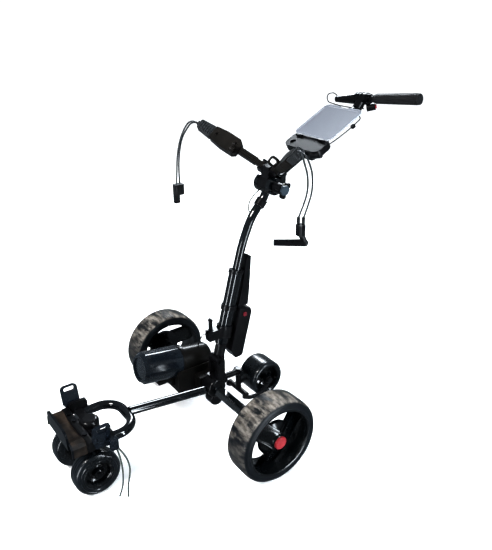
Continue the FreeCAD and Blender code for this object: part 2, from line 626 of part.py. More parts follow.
def upper_arm():
    """The left upper arm about its root: the arm with its shell, the pad with its gland, the pin."""
    boss = Part.makeCylinder(13, 18, v(0, 0, -9))
    bars = [box((8, -8, -9), (30, 8, 9)), box((24, -8, -11), (100, 8, 11))]
    ribs = [box((26, -10.5, z), (96, -7, z + 3)) for z in (-9, -1.5, 6)]
    outline = [(92, -19), (104, -28), (152, -28), (196, -22), (196, 22), (152, 28), (104, 28), (92, 19)]
    shell = polygon([v(x, -14, z) for x, z in outline]).extrude(v(0, 26, 0))
    shell = rounded(shell, 5, v(0, 1, 0)).cut(rounded(box((102, -20, -13), (114, -9, 13)), 5, v(0, 1, 0)))
    loop = rounded(box((100, -43, -30), (108, -12, -2)), 9, v(1, 0, 0))
    loop = loop.cut(rounded(box((90, -37, -25), (118, -20, -8)), 5, v(1, 0, 0)))
    arm = boss.fuse(bars + [shell, loop] + ribs).removeSplitter()
    arm = arm.cut(Part.makeCylinder(5 + RUNNING, 40, v(0, 0, -20)))
    arm = arm.cut(Part.makeCylinder(6, 8, v(178, -16, 0), v(0, 1, 0)))
    pad = polygon([v(196, -11, -21), v(ARM_LENGTH, -11, -16), v(ARM_LENGTH, -11, 16), v(196, -11, 21)])
    pad = rounded(pad.extrude(v(0, 22, 0)), 6, v(0, 1, 0))
    ridges = [box((202 + 8 * i, -14, -14), (206 + 8 * i, -10, 14)) for i in range(6)]
    gland = box((ARM_LENGTH - 2, -9, -7), (ARM_LENGTH + 6, 9, 7))
    pad = pad.fuse(ridges + [gland]).removeSplitter()
    pin = Part.makeCylinder(5, 24, v(0, 0, -12))
    pin = pin.fuse([Part.makeCylinder(9, 3, v(0, 0, 9.3)), Part.makeCylinder(9, 3, v(0, 0, -12.3))])
    return arm, pad, pin.removeSplitter()


def upper_arms(nodes):
    """Both upper arms, with the room and the lugs the hub needs for them."""
    arm, pad, pin = (arm_place(shape) for shape in upper_arm())
    nodes["upper_arm_left"] = arm
    nodes["upper_arm_right"] = mirror_x(arm)
    nodes["arm_pad_left"] = pad
    nodes["arm_pad_right"] = mirror_x(pad)
    room = arm_place(Part.makeCylinder(15, 24.6, v(0, 0, -12.3)))
    lugs = [arm_place(box((-26, -12, low), (8, 12, low + 5.5))) for low in (12.5, -18)]
    return [pin, mirror_x(pin)], [room, mirror_x(room)], lugs + [mirror_x(lug) for lug in lugs]


def lid_hinges():
    """Ears with pins for the body and knuckles for the lid, on one line in front of the lid."""
    ears = []
    knuckles = []
    for side in (-1, 1):
        for x in (37.0, 61.0):
            low, high = sorted((side * x, side * (x + 3)))
            ears.append(box((low, HINGE_Y - 3, -3), (high, HINGE_Y + 3, HINGE_Z)))
            ears.append(rod(v(low, HINGE_Y, HINGE_Z), v(high, HINGE_Y, HINGE_Z), 3.2))
        ears.append(rod(v(side * 38, HINGE_Y, HINGE_Z), v(side * 62, HINGE_Y, HINGE_Z), 1.5))
        low, high = sorted((side * 41.0, side * 60.0))
        knuckle = rod(v(low, HINGE_Y, HINGE_Z), v(high, HINGE_Y, HINGE_Z), 3)
        knuckle = knuckle.fuse(box((low, HINGE_Y, HINGE_Z - 1.8), (high, 3, HINGE_Z + 1.5)))
        bore = rod(v(low - 1, HINGE_Y, HINGE_Z), v(high + 1, HINGE_Y, HINGE_Z), 1.5 + RUNNING)
        knuckles.append(knuckle.cut(bore))
    return ears, knuckles


def console(nodes):
    tube = rod(in_console(0, -150, -HANDLE_DROP), in_console(0, HANDLE_LENGTH, -HANDLE_DROP), HANDLE_TUBE_R)
    nose = rounded(box((-80, -56, -27), (80, 14, -1.2)), 24, v(0, 0, 1))
    nose = nose.makeFillet(6, [e for e in nose.Edges if e.BoundBox.ZMax < -26])
    bulge = rod(v(46, -50, -18), v(74, -36, -18), 15)
    tray = rounded(box((-58, -10, -14), (58, LID_LENGTH - 14, -1.2)), 10, v(0, 0, 1))
    spine = side_plate([(-50, -22), (LID_LENGTH - 40, -10), (LID_LENGTH - 40, -36), (-40, -42)], -20, 20)
    pod = rounded(box((-26, -46, -50), (34, -6, -22)), 9, v(0, 0, 1))
    rail, _ = bent_wire([v(72, -8, -12), v(85, 24, -8), v(91, 84, -7), v(84, 146, -9), v(50, 152, -9)])
    rail = swept(rail, LEAD_R, v(72, -8, -12), v(13, 32, 4))
    clip = rounded(box((84, 92, -13), (95, 106, -4)), 3, v(0, 0, 1))
    ears, knuckles = lid_hinges()
    body = tray.fuse([nose, bulge, spine, pod, clip, rail] + ears).removeSplitter()
    body = body.cut(rounded(box((-52, 18, -11), (52, LID_LENGTH - 22, 5)), 8, v(0, 0, 1)))
    body = body.cut(Part.makeCylinder(10, 20, v(-52, -34, -8)))
    nodes["console_body"] = console_frame(body).cut(tube)
    lid = rounded(box((-LID_HALF, 0, 0.2), (LID_HALF, LID_LENGTH, 5)), 20, v(0, 0, 1))
    for side in (-1, 1):
        low, high = sorted((side * 36.0, side * 65.0))
        lid = lid.cut(box((low, -1, -1), (high, 1.2, 8)))
    lid = lid.fuse(knuckles).removeSplitter()
    notch = rounded(box((-18, LID_LENGTH - 5, -5), (18, LID_LENGTH + 10, 10)), 4, v(0, 0, 1))
    inset = rounded(box((-LID_HALF + 6, 6, 4.2), (LID_HALF - 6, LID_LENGTH - 11, 8)), 14, v(0, 0, 1))
    nodes["console_lid"] = console_frame(lid.cut(notch).cut(inset))


def handle(nodes):
    """The handle's knuckle with its stop button, and the side grip."""
    along = (GRIP_END - KNUCKLE).normalize()
    tube_end = in_console(0, HANDLE_LENGTH, -HANDLE_DROP)
    tube = rod(in_console(0, 0, -HANDLE_DROP), tube_end, HANDLE_TUBE_R)
    knuckle = rod(KNUCKLE - along * 26, KNUCKLE + along * 20, 19)
    parts = [rod(KNUCKLE + along * (20 + 5 * i), KNUCKLE + along * (23 + 5 * i), 18 - 1.5 * i)
             for i in range(3)]
    parts.extend(rod(KNUCKLE + along * x, KNUCKLE + along * (x + 4), 20.5) for x in (-24, -12, 0))
    parts.append(rod(KNUCKLE + along * 20, KNUCKLE + along * 44, 10))
    parts.append(rod(in_console(0, HANDLE_LENGTH - 20, -HANDLE_DROP), KNUCKLE - v(0, 2, 2), 16))
    parts.append(cone(KNUCKLE - along * 26, KNUCKLE - along * 108 - v(0, 0, 2), 18, 10))
    button_at = KNUCKLE + v(28, 18, -25)
    way = v(0.75, 0.6, 0.25).normalize()
    parts.append(rod(button_at - way * 18, button_at + way * 10, 11))
    parts.append(rod(button_at - way * 6, KNUCKLE + v(8, 6, -6), 7))
    knuckle = knuckle.fuse(parts).removeSplitter().cut(tube)
    nodes["handle_knuckle"] = knuckle.cut(rod(button_at + way * 2, button_at + way * 12, 7.4))
    nodes["stop_button"] = rod(button_at + way * 6, button_at + way * 14, 7)
    grip = cone(KNUCKLE + along * 44, KNUCKLE + along * 56, 12, 16)
    bar = cone(KNUCKLE + along * 56, GRIP_END - along * 3, 16, 18)
    end = rod(GRIP_END - along * 3, GRIP_END + along * 8, 17.2)
    end = end.makeFillet(3, [e for e in end.Edges if e.BoundBox.XMax > GRIP_END.x + 7])
    nodes["handle_grip"] = grip.fuse([bar, end]).removeSplitter()


def upper_cords(nodes):
    """Two strap cords from each arm's pad, with a pull handle on the left and a hook on the right."""
    tip = ARM_ROOT + Vector(ARM_DIR).normalize() * (ARM_LENGTH + 6)
    out = Vector(ARM_DIR).normalize() * 17
    across = Vector(ARM_NORMAL).cross(ARM_DIR).normalize() * 5
    left_a, left_b = tip + across, tip - across
    right = v(-tip.x, tip.y, tip.z)
    routes = {
        "left_cord_a": [left_a, left_a + out, left_a + out + v(17, -2, -7), left_a + out + v(26, 2, -26),
                        v(279, 150, 892), v(266, 164, 842), v(246, 170, 796), CORD_FORK + v(5, 5, 0)],
        "left_cord_b": [left_b, left_b + out, left_b + out + v(16, -6, -7), left_b + out + v(24, -6, -26),
                        v(273, 139, 890), v(260, 153, 842), v(237, 161, 796), CORD_FORK - v(5, 5, 0)],
        "right_cord_a": [right + v(0, 4, -3), right + v(-13, -2, 3), right + v(-26, -13, -1),
                         right + v(-31, -25, -18), v(-272, 82, 900), v(-260, 64, 858), v(-248, 52, 812),
                         CORD_BLOCK + v(-5, 8, 0)],
        "right_cord_b": [right + v(0, -4, 3), right + v(-13, -11, 8), right + v(-23, -24, 3),
                         right + v(-27, -38, -17), v(-264, 70, 896), v(-250, 50, 852), v(-236, 38, 808),
                         CORD_BLOCK + v(3, -8, 0)],
    }
    for name, points in routes.items():
        nodes[name] = cord(name, points)


def strap_ends(nodes):
    """The pull handle on the left cords and the hook on the right cords."""
    fork, block = CORD_FORK, CORD_BLOCK
    prongs = [rod(fork + v(s * 5, s * 5, 2), fork + v(s * 5, s * 5, -26), 5) for s in (-1, 1)]
    base = box((fork.x - 12, fork.y - 11, fork.z - 52), (fork.x + 12, fork.y + 11, fork.z - 20))
    base = rounded(base, 5, v(0, 0, 1))
    corner = fork + v(6, 12, -76)
    stem = rod(fork + v(2, 2, -50), corner, 9)
    bar = cone(corner, corner + v(-46, -76, 4), 11, 9.5)
    nodes["pull_handle"] = base.fuse(prongs + [stem, bar, ball(corner, 11)]).removeSplitter()
    body = box((block.x - 12, block.y - 16, block.z - 34), (block.x + 12, block.y + 16, block.z))
    tongue = box((block.x - 5, block.y - 18, block.z - 62), (block.x + 5, block.y + 2, block.z - 30))
    tongue = rounded(tongue, 4, v(1, 0, 0))
    nodes["strap_hook"] = rounded(body, 4, v(0, 0, 1)).fuse(tongue).removeSplitter()


def lower_cords(nodes):
    """Two cords hanging from the left lower arm."""
    routes = {
        "lower_cord_a": [v(122, -406, 166), v(134, -404, 150), v(150, -404, 118), v(155, -406, 80),
                         v(154, -410, 42), v(148, -420, 9)],
        "lower_cord_b": [v(131, -404, 166), v(152, -393, 150), v(168, -388, 116), v(166, -392, 78),
                         v(160, -398, 40), v(164, -400, 9)],
    }
    for name, points in routes.items():
        nodes[name] = cord(name, points)


def held_leads(nodes):
    """The three leads that are held at both ends."""
    nose = KNUCKLE + v(-96, -14, -6)
    nodes["handle_lead"] = cord("handle_lead", [nose, nose + v(-28, 0, 14), v(-146, 590, 1006),
                                                v(-144, 592, 982), v(-104, 598, 976), v(-50, 604, 974),
                                                v(6, 616, 976)], LEAD_R)
    nodes["hub_lead"] = cord("hub_lead", [v(0, 200, 782), v(0, 174, 768), v(0, 150, 744), v(0, 146, 718),
                                          v(0, 161, 704)], LEAD_R)
    nodes["motor_lead"] = cord("motor_lead", [v(-112, 18, 230), v(-80, 12, 280), v(-46, 2, 312),
                                              v(-17, -5, 322)], LEAD_R)


def build():
    """Make every node."""
    nodes = {}
    rear_wheels(nodes)
    caster(nodes)
    bag_base(nodes)
    arm_pins = lower_arms(nodes)
    fold_pins, bushings = chassis(nodes)
    motor(nodes)
    tip_pins, tip_bolts = anti_tip(nodes)
    nodes["pins_and_bushings"] = Part.makeCompound(fold_pins + arm_pins + tip_pins + bushings)
    heads = [rod(v(x, -466, 188), v(x, -466, 194), 8) for x in (-62, -24, 52)]
    nodes["frame_bolts"] = Part.makeCompound(heads + tip_bolts)
    mast_outer, castings, lever_pin = mast(nodes)
    core, sleeves = mast_upper(nodes)
    castings.extend(sleeves)
    battery(nodes, mast_outer, castings)
    nodes["mast_castings"] = Part.makeCompound(castings)
    pins, rooms, lugs = upper_arms(nodes)
    core = core.fuse(lugs)
    for room in rooms:
        core = core.cut(room)
    for side in (-1, 1):
        start = HUB + v(side * HUB_HALF, 0, 0)
        core = core.cut(rod(start, start + v(side * 30, 0, 0), HUB_R_DRUM + 2))
    hub_bolt = upper_hub(nodes, core.removeSplitter())
    nodes["hub_pins"] = Part.makeCompound(pins + [hub_bolt, lever_pin])
    console(nodes)
    handle(nodes)
    upper_cords(nodes)
    strap_ends(nodes)
    lower_cords(nodes)
    held_leads(nodes)
    return nodes


def main():
    """Write each node as a STEP file and print the size."""
    os.makedirs("parts", exist_ok=True)
    nodes = build()
    for name, shape in nodes.items():
        shape.translate(v(0, REAR_AXLE_Y, 0))
        if not shape.isValid():
            print(f"{name} is not valid")
        shape.exportStep(f"parts/{name}.step")
    bounds = Part.makeCompound(list(nodes.values())).BoundBox
    print(len(nodes), "nodes", bounds)


if __name__ == "__main__":
    main()
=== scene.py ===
"""Electric golf cart without its bag: visible pieces, finishes, light and camera, in metres."""
import json
import logging
import math
from dataclasses import dataclass, field
from enum import Enum
from typing import Optional, Sequence

import bpy
from mathutils import Matrix, Vector

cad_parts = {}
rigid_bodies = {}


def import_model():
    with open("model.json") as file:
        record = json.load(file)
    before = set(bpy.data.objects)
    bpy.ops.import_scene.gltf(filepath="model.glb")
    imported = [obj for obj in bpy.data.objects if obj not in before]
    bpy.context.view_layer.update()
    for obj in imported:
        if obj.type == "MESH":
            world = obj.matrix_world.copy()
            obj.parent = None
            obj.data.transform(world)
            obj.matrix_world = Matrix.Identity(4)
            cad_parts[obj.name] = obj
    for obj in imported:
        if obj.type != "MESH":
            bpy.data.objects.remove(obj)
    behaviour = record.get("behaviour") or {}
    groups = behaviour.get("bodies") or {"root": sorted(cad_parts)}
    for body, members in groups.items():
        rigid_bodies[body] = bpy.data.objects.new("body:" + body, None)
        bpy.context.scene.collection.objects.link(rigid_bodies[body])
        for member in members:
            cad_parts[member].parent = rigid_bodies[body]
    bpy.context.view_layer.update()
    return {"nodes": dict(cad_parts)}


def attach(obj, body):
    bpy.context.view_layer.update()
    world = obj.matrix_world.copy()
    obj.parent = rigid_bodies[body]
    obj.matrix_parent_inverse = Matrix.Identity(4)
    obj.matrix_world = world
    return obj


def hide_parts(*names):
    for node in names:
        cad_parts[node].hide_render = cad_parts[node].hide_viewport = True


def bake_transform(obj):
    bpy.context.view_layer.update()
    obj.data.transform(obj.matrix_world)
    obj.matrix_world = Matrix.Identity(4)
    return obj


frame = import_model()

LOG = logging.getLogger("golf_cart")

AXLE_Y = -0.066
WHEEL_X, WHEEL_R, WHEEL_HALF = 0.316, 0.135, 0.045
FRONT_X, FRONT_Y, FRONT_R, FRONT_HALF = 0.0735, -0.454, 0.070, 0.027
TIP_Y, TIP_Z, TIP_R, TIP_HALF = 0.2015, 0.103, 0.063, 0.044
CORD_DIAMETER = 0.0054
LEAD_DIAMETER = 0.0036
LID_FRONT = Vector((0.0, 0.392 + AXLE_Y, 0.909))
LID_TILT = math.radians(27.7)
LID_HALF, LID_LENGTH = 0.083, 0.163
X_AXIS, Y_AXIS, Z_AXIS = Vector((1, 0, 0)), Vector((0, 1, 0)), Vector((0, 0, 1))


# Shader maths


class Value:
    """A shader socket that takes part in Python arithmetic."""

    def __init__(self, paint: "Paint", socket: bpy.types.NodeSocket) -> None:
        """Keep the socket and the material it belongs to."""
        self.paint = paint
        self.socket = socket

    def join(self, operation: str, other: object, flipped: bool = False) -> "Value":
        """Add one Math node.

        Args:
            operation: the Math node's operation.
            other: a Value or a number.
            flipped: True puts the other operand first.

        Returns:
            The node's result.
        """
        pair = (other, self) if flipped else (self, other)
        return self.paint.node("ShaderNodeMath", {"operation": operation}, {0: pair[0], 1: pair[1]})

    def __add__(self, other: object) -> "Value":
        """Sum."""
        return self.join("ADD", other)

    def __radd__(self, other: object) -> "Value":
        """Sum with a number first."""
        return self.join("ADD", other, True)

    def __sub__(self, other: object) -> "Value":
        """Difference."""
        return self.join("SUBTRACT", other)

    def __rsub__(self, other: object) -> "Value":
        """Difference with a number first."""
        return self.join("SUBTRACT", other, True)

    def __mul__(self, other: object) -> "Value":
        """Product."""
        return self.join("MULTIPLY", other)

    def __rmul__(self, other: object) -> "Value":
        """Product with a number first."""
        return self.join("MULTIPLY", other, True)

    def __truediv__(self, other: object) -> "Value":
        """Quotient."""
        return self.join("DIVIDE", other)

    def __pow__(self, other: object) -> "Value":
        """Power."""
        return self.join("POWER", other)

    def __abs__(self) -> "Value":
        """Size without sign."""
        return self.join("ABSOLUTE", 0.0)

    def sine(self) -> "Value":
        """Sine of an angle in radians."""
        return self.join("SINE", 0.0)

    def rise(self, low: float, high: float) -> "Value":
        """Go smoothly from 0 at low to 1 at high.

        Args:
            low: the value that gives 0.
            high: the value that gives 1.

        Returns:
            The smooth step.
        """
        settings = {"interpolation_type": "SMOOTHSTEP", "clamp": True}
        return self.paint.node("ShaderNodeMapRange", settings, {"Value": self, "From Min": low, "From Max": high})


class Paint:
    """One procedural material while its nodes are laid."""

    def __init__(self, name: str) -> None:
        """Start a material with a bare surface shader."""
        self.material = bpy.data.materials.new(name)
        self.material.use_nodes = True
        self.tree = self.material.node_tree
        self.tree.nodes.clear()
        self.shader = self.tree.nodes.new("ShaderNodeBsdfPrincipled")
        self.output = self.tree.nodes.new("ShaderNodeOutputMaterial")
        self.tree.links.new(self.shader.outputs["BSDF"], self.output.inputs["Surface"])
        self.place = self.node("ShaderNodeTexCoord", {}, {}, "Object")

    def feed(self, socket: bpy.types.NodeSocket, value: object) -> None:
        """Link or set one input socket.

        Args:
            socket: the input.
            value: a Value to link, or a plain number or tuple to set.
        """
        if isinstance(value, Value):
            self.tree.links.new(value.socket, socket)
        else:
            socket.default_value = value

    def node(self, kind: str, settings: dict, inputs: dict, output: object = 0) -> Value:
        """Add any node.

        Args:
            kind: the node's type.
            settings: attributes, which are set first.
            inputs: values or links by socket name or number.
            output: the output to give back, by name or number.

        Returns:
            The chosen output.
        """
        made = self.tree.nodes.new(kind)
        for key, value in settings.items():
            setattr(made, key, value)
        for key, value in inputs.items():
            self.feed(made.inputs[key], value)
        return Value(self, made.outputs[output])

    def noise(self, scale: float, detail: float = 3.0, rough: float = 0.55, place: Optional[Value] = None) -> Value:
        """Cloudy noise from 0 to 1.

        Args:
            scale: features per metre.
            detail: octaves.
            rough: how strong the fine octaves are.
            place: coordinates, or None for the row frame.

        Returns:
            The noise.
        """
        inputs = {"Vector": place or self.place, "Scale": scale, "Detail": detail, "Roughness": rough}
        return self.node("ShaderNodeTexNoise", {}, inputs, "Fac")

    def cells(self, scale: float, place: Optional[Value] = None) -> Value:
        """Distance to scattered points, for grain and dots."""
        inputs = {"Vector": place or self.place, "Scale": scale}
        return self.node("ShaderNodeTexVoronoi", {}, inputs, "Distance")

    def axis(self, name: str, place: Optional[Value] = None) -> Value:
        """One coordinate, named X, Y or Z, in metres."""
        return self.node("ShaderNodeSeparateXYZ", {}, {0: place or self.place}, name)

    def stretched(self, scale: Sequence[float], turn: Sequence[float] = (0, 0, 0)) -> Value:
        """Coordinates turned and stretched by a Mapping node.

        Args:
            scale: factors along X, Y and Z.
            turn: rotation in radians about X, Y and Z.

        Returns:
            The new coordinates.
        """
        inputs = {"Vector": self.place, "Scale": tuple(scale), "Rotation": tuple(turn)}
        return self.node("ShaderNodeMapping", {"vector_type": "POINT"}, inputs)

    def mix(self, factor: Value, first: object, second: object) -> Value:
        """Blend two colours.

        Args:
            factor: 0 gives the first, 1 the second.
            first: a colour or a Value.
            second: a colour or a Value.

        Returns:
            The blended colour.
        """
        made = self.tree.nodes.new("ShaderNodeMix")
        made.data_type = "RGBA"
        for key, value in ((0, factor), (6, first), (7, second)):
            self.feed(made.inputs[key], value if isinstance(value, Value) or key == 0 else (*value, 1.0))
        return Value(self, made.outputs[2])

    def bump(self, height: Value, depth: float, strength: float = 1.0) -> None:
        """Send a height into the surface's normal.

        Args:
            height: 0 to 1.
            depth: the height of 1, in metres.
            strength: how much of it shows.
        """
        inputs = {"Height": height, "Distance": depth, "Strength": strength}
        self.feed(self.shader.inputs["Normal"], self.node("ShaderNodeBump", {}, inputs))

    def surface(self, **sockets: object) -> bpy.types.Material:
        """Feed the surface shader's sockets by name, with spaces as underscores.

        Args:
            sockets: the values or links.

        Returns:
            The finished material.
        """
        for key, value in sockets.items():
            if isinstance(value, tuple) and len(value) == 3:
                value = (*value, 1.0)
            self.feed(self.shader.inputs[key.replace("_", " ")], value)
        return self.material


Colour = tuple[float, float, float]


@dataclass(frozen=True)
class Moulding:
    """A moulded or painted skin with cloudy variation, fine grain and rubbed patches."""

    name: str
    colour: Colour
    worn: Colour
    roughness: float
    grain: float = 900.0
    grain_depth: float = 0.0001
    coat: float = 0.0
    metallic: float = 0.0
    patch: float = 9.0
    specular: float = 0.35

    def material(self) -> bpy.types.Material:
        """Lay the skin's nodes."""
        paint = Paint(self.name)
        cloud = paint.noise(self.patch, 5.0)
        rub = paint.noise(self.patch * 6, 6.0, 0.7).rise(0.55, 0.8)
        grain = paint.cells(self.grain)
        colour = paint.mix(cloud.rise(0.35, 0.75) * 0.6 + rub * 0.4, self.colour, self.worn)
        paint.bump(grain + paint.noise(self.grain * 0.3), self.grain_depth, 0.6)
        rough = self.roughness + 0.14 * (cloud - 0.5) + 0.08 * rub
        return paint.surface(Base_Color=colour, Roughness=rough, Metallic=self.metallic, Coat_Weight=self.coat,
                             Coat_Roughness=0.06, Specular_IOR_Level=self.specular)


@dataclass(frozen=True)
class DustyTread:
    """Black tyre rubber with dried mud in blotches on its tread and a clean sidewall; below the axle the mud is cut
    back as painted shade, so the lower tread is darker.
    """

    name: str
    axle_y: float
    axle_z: float
    tread_from: float
    tread_full: float
    dust: Colour = (0.12, 0.105, 0.09)
    pale_dust: Colour = (0.33, 0.30, 0.265)

    def material(self) -> bpy.types.Material:
        """Lay the tread's nodes."""
        paint = Paint(self.name)
        y = paint.axis("Y") - self.axle_y
        z = paint.axis("Z") - self.axle_z
        radius = (y * y + z * z) ** 0.5
        tread = radius.rise(self.tread_from, self.tread_full)
        blotch = paint.noise(22.0, 5.0, 0.55)
        streak = paint.noise(46.0, 5.0, 0.65, paint.stretched((0.3, 1.0, 1.0)))
        # Painted shade: the mud stays full on the upper tread and drops to a quarter below the axle, so the lower tread
        # reads darker.
        upper = (z / self.axle_z).rise(0.1, 1.0)
        mud_and_painted_shade = (blotch * 0.3 + streak * 0.7).rise(0.42, 0.60) * tread * (0.25 + 0.75 * upper)
        fine = paint.noise(420.0, 3.0)
        rubber = paint.mix(fine, (0.0015, 0.002, 0.0025), (0.006, 0.008, 0.011))
        patch = paint.noise(70.0, 4.0, 0.6, paint.stretched((0.5, 1.0, 1.0))).rise(0.35, 0.65)
        dust = paint.mix(patch, self.dust, self.pale_dust)
        colour = paint.mix(mud_and_painted_shade * (0.55 + 0.45 * fine), rubber, dust)
        paint.bump(blotch * 0.4 + fine * 0.4 + mud_and_painted_shade * 0.5, 0.0009, 0.55)
        return paint.surface(Base_Color=colour, Roughness=0.30 + 0.5 * mud_and_painted_shade + 0.1 * fine,
                             Specular_IOR_Level=0.16)


@dataclass(frozen=True)
class DottedPanel:
    """A silver-grey panel covered in fine dots."""

    name: str
    colour: Colour
    dot: Colour
    pitch: float

    def material(self) -> bpy.types.Material:
        """Lay the panel's nodes."""
        paint = Paint(self.name)
        place = paint.stretched((1, 1, 1), (-LID_TILT, 0, 0))
        across = (paint.axis("X", place) * (math.tau / self.pitch)).sine()
        along = (paint.axis("Y", place) * (math.tau / self.pitch)).sine()
        dots = (across * along).rise(0.0, 0.5)
        cloud = paint.noise(14.0, 4.0)
        colour = paint.mix(dots * 0.75 + cloud * 0.25, self.colour, self.dot)
        paint.bump(dots, 0.0001, 0.5)
        return paint.surface(Base_Color=colour, Roughness=0.62 + 0.12 * cloud, Specular_IOR_Level=0.1)


@dataclass(frozen=True)
class TrayShell:
    """A rubbed brown-black shell with a clean blue-black lip in front of it."""

    name: str
    colour: Colour
    worn: Colour
    lip: Colour
    lip_y: float

    def material(self) -> bpy.types.Material:
        """Lay the shell's nodes."""
        paint = Paint(self.name)
        cloud = paint.noise(16.0, 5.0, 0.6)
        streak = paint.noise(30.0, 5.0, 0.6, paint.stretched((0.4, 1.0, 1.0)))
        rubbed = (cloud * 0.5 + streak * 0.5).rise(0.38, 0.66)
        behind = paint.axis("Y").rise(self.lip_y - 0.001, self.lip_y)
        grain = paint.cells(700.0)
        colour = paint.mix(behind, self.lip, paint.mix(rubbed, self.colour, self.worn))
        paint.bump(grain + rubbed * 0.5, 0.0001, 0.5)
        return paint.surface(Base_Color=colour, Roughness=0.30 + 0.12 * cloud, Specular_IOR_Level=0.14)


@dataclass(frozen=True)
class RibbedRubber:
    """Soft rubber with fine ribs across one direction."""

    name: str
    colour: Colour
    light: Colour
    pitch: float
    turn: tuple[float, float, float]

    def material(self) -> bpy.types.Material:
        """Lay the rubber's nodes."""
        paint = Paint(self.name)
        place = paint.stretched((1, 1, 1), self.turn)
        rib = (paint.axis("X", place) * (math.tau / self.pitch)).sine()
        cloud = paint.noise(40.0, 4.0)
        paint.bump(rib.rise(-0.3, 0.8) + cloud * 0.4, 0.0006, 0.7)
        colour = paint.mix(cloud * 0.5 + rib.rise(0.2, 1.0) * 0.4, self.colour, self.light)
        return paint.surface(Base_Color=colour, Roughness=0.40 + 0.2 * cloud, Specular_IOR_Level=0.15)


@dataclass(frozen=True)
class Braid:
    """A woven sheath for cords, with crossing strands."""

    name: str
    colour: Colour
    light: Colour
    roughness: float

    def material(self) -> bpy.types.Material:
        """Lay the braid's nodes."""
        paint = Paint(self.name)
        up = paint.axis("Z")
        side = paint.axis("X") + paint.axis("Y")
        one = (up * 2600.0 + side * 1500.0).sine()
        two = (up * 2600.0 - side * 1500.0).sine()
        weave = (one * two).rise(-0.5, 0.7)
        cloud = paint.noise(60.0, 3.0)
        paint.bump(weave, 0.0003, 0.6)
        colour = paint.mix(weave * 0.6 + cloud * 0.4, self.colour, self.light)
        return paint.surface(Base_Color=colour, Roughness=self.roughness + 0.1 * cloud)


class Skin(Enum):
    """The cart's finishes."""

    FRAME = Moulding("frame_gloss_paint", (0.001, 0.0015, 0.002), (0.003, 0.004, 0.006), 0.12, 500, 0.00003, 0.8, specular=0.2)
    PLASTIC = Moulding("satin_plastic", (0.0015, 0.0015, 0.002), (0.007, 0.007, 0.008), 0.30, 900, 0.00008, 0.2, specular=0.14)
    SHELL = Moulding("scuffed_shell_plastic", (0.004, 0.0035, 0.003), (0.020, 0.017, 0.0145), 0.34, specular=0.14)
    TRAY = TrayShell("tray_plastic", (0.006, 0.005, 0.0045), (0.048, 0.034, 0.025), (0.0015, 0.0025, 0.004), -0.516 + AXLE_Y)
    LIP = Moulding("blue_black_plastic", (0.004, 0.006, 0.009), (0.008, 0.012, 0.018), 0.26, 700, 0.00005, 0.2, specular=0.12)
    GLOSS = Moulding("motor_gloss_plastic", (0.0025, 0.004, 0.006), (0.008, 0.013, 0.020), 0.16, 700, 0.00004, 0.7, specular=0.2)
    MOTOR_END = Moulding("motor_satin_plastic", (0.002, 0.002, 0.002), (0.010, 0.009, 0.008), 0.28, 500, 0.0001, 0.15, specular=0.14)
    RIM = Moulding("wheel_rim_plastic", (0.001, 0.0015, 0.002), (0.003, 0.004, 0.005), 0.24, 900, 0.00005, 0.3, specular=0.2)
    CASTING = Moulding("gearbox_casting", (0.002, 0.002, 0.002), (0.012, 0.010, 0.008), 0.5, 350, 0.0003, specular=0.12)
    STEEL = Moulding("bolt_steel", (0.10, 0.105, 0.115), (0.22, 0.23, 0.25), 0.36, 600, 0.00004, 0.0, 1.0)
    DARK_STEEL = Moulding("blackened_steel", (0.02, 0.021, 0.023), (0.07, 0.073, 0.08), 0.32, 600, 0.00004, 0.0, 1.0)
    RED = Moulding("red_plastic", (0.24, 0.014, 0.020), (0.33, 0.035, 0.042), 0.36, 700, 0.00005, 0.1, specular=0.2)
    DARK_RED = Moulding("latch_red_plastic", (0.10, 0.004, 0.010), (0.20, 0.010, 0.018), 0.34, 700, 0.00005, 0.2)
    BLUE_GREY = Moulding("knob_cap_plastic", (0.022, 0.033, 0.044), (0.055, 0.078, 0.10), 0.42, specular=0.2)
    RIMMED = Moulding("lid_rim_plastic", (0.34, 0.355, 0.385), (0.42, 0.44, 0.47), 0.6, 600, 0.00004, specular=0.1)
    LID = DottedPanel("lid_dotted_panel", (0.110, 0.122, 0.148), (0.190, 0.203, 0.232), 0.0050)
    TYRE = DustyTread("rear_tyre_rubber", AXLE_Y, WHEEL_R, 0.1275, 0.1318)
    SMALL_TYRE = Moulding("small_tyre_rubber", (0.002, 0.003, 0.004), (0.008, 0.011, 0.015), 0.28, 500, 0.00015, 0.3, specular=0.25)
    PAD = RibbedRubber("strap_pad_rubber", (0.008, 0.009, 0.010), (0.040, 0.044, 0.048), 0.004, (0, 0.4, 0))
    GRIP = RibbedRubber("grip_rubber", (0.005, 0.005, 0.006), (0.016, 0.016, 0.017), 0.003, (0, 0, 0.1))
    CORD = Braid("strap_cord_braid", (0.003, 0.004, 0.005), (0.020, 0.025, 0.030), 0.4)
    FOOT_CORD = Braid("foot_cord_braid", (0.018, 0.026, 0.024), (0.060, 0.075, 0.068), 0.6)
    LEAD = Moulding("cable_sheath", (0.003, 0.003, 0.004), (0.012, 0.012, 0.013), 0.33, 900, 0.00004)


class Wardrobe:
    """Builds each finish once and dresses pieces with it."""

    def __init__(self) -> None:
        """Start with no finish made."""
        self.made: dict[Skin, bpy.types.Material] = {}

    def of(self, skin: Skin) -> bpy.types.Material:
        """The material of a finish, made on first use."""
        if skin not in self.made:
            self.made[skin] = skin.value.material()
        return self.made[skin]

    def dress(self, piece: bpy.types.Object, skin: Skin) -> bpy.types.Object:
        """Give a piece one finish all over.

        Args:
            piece: a mesh or curve object.
            skin: the finish.

        Returns:
            The piece.
        """
        piece.data.materials.clear()
        piece.data.materials.append(self.of(skin))
        return piece


# Modelling tools


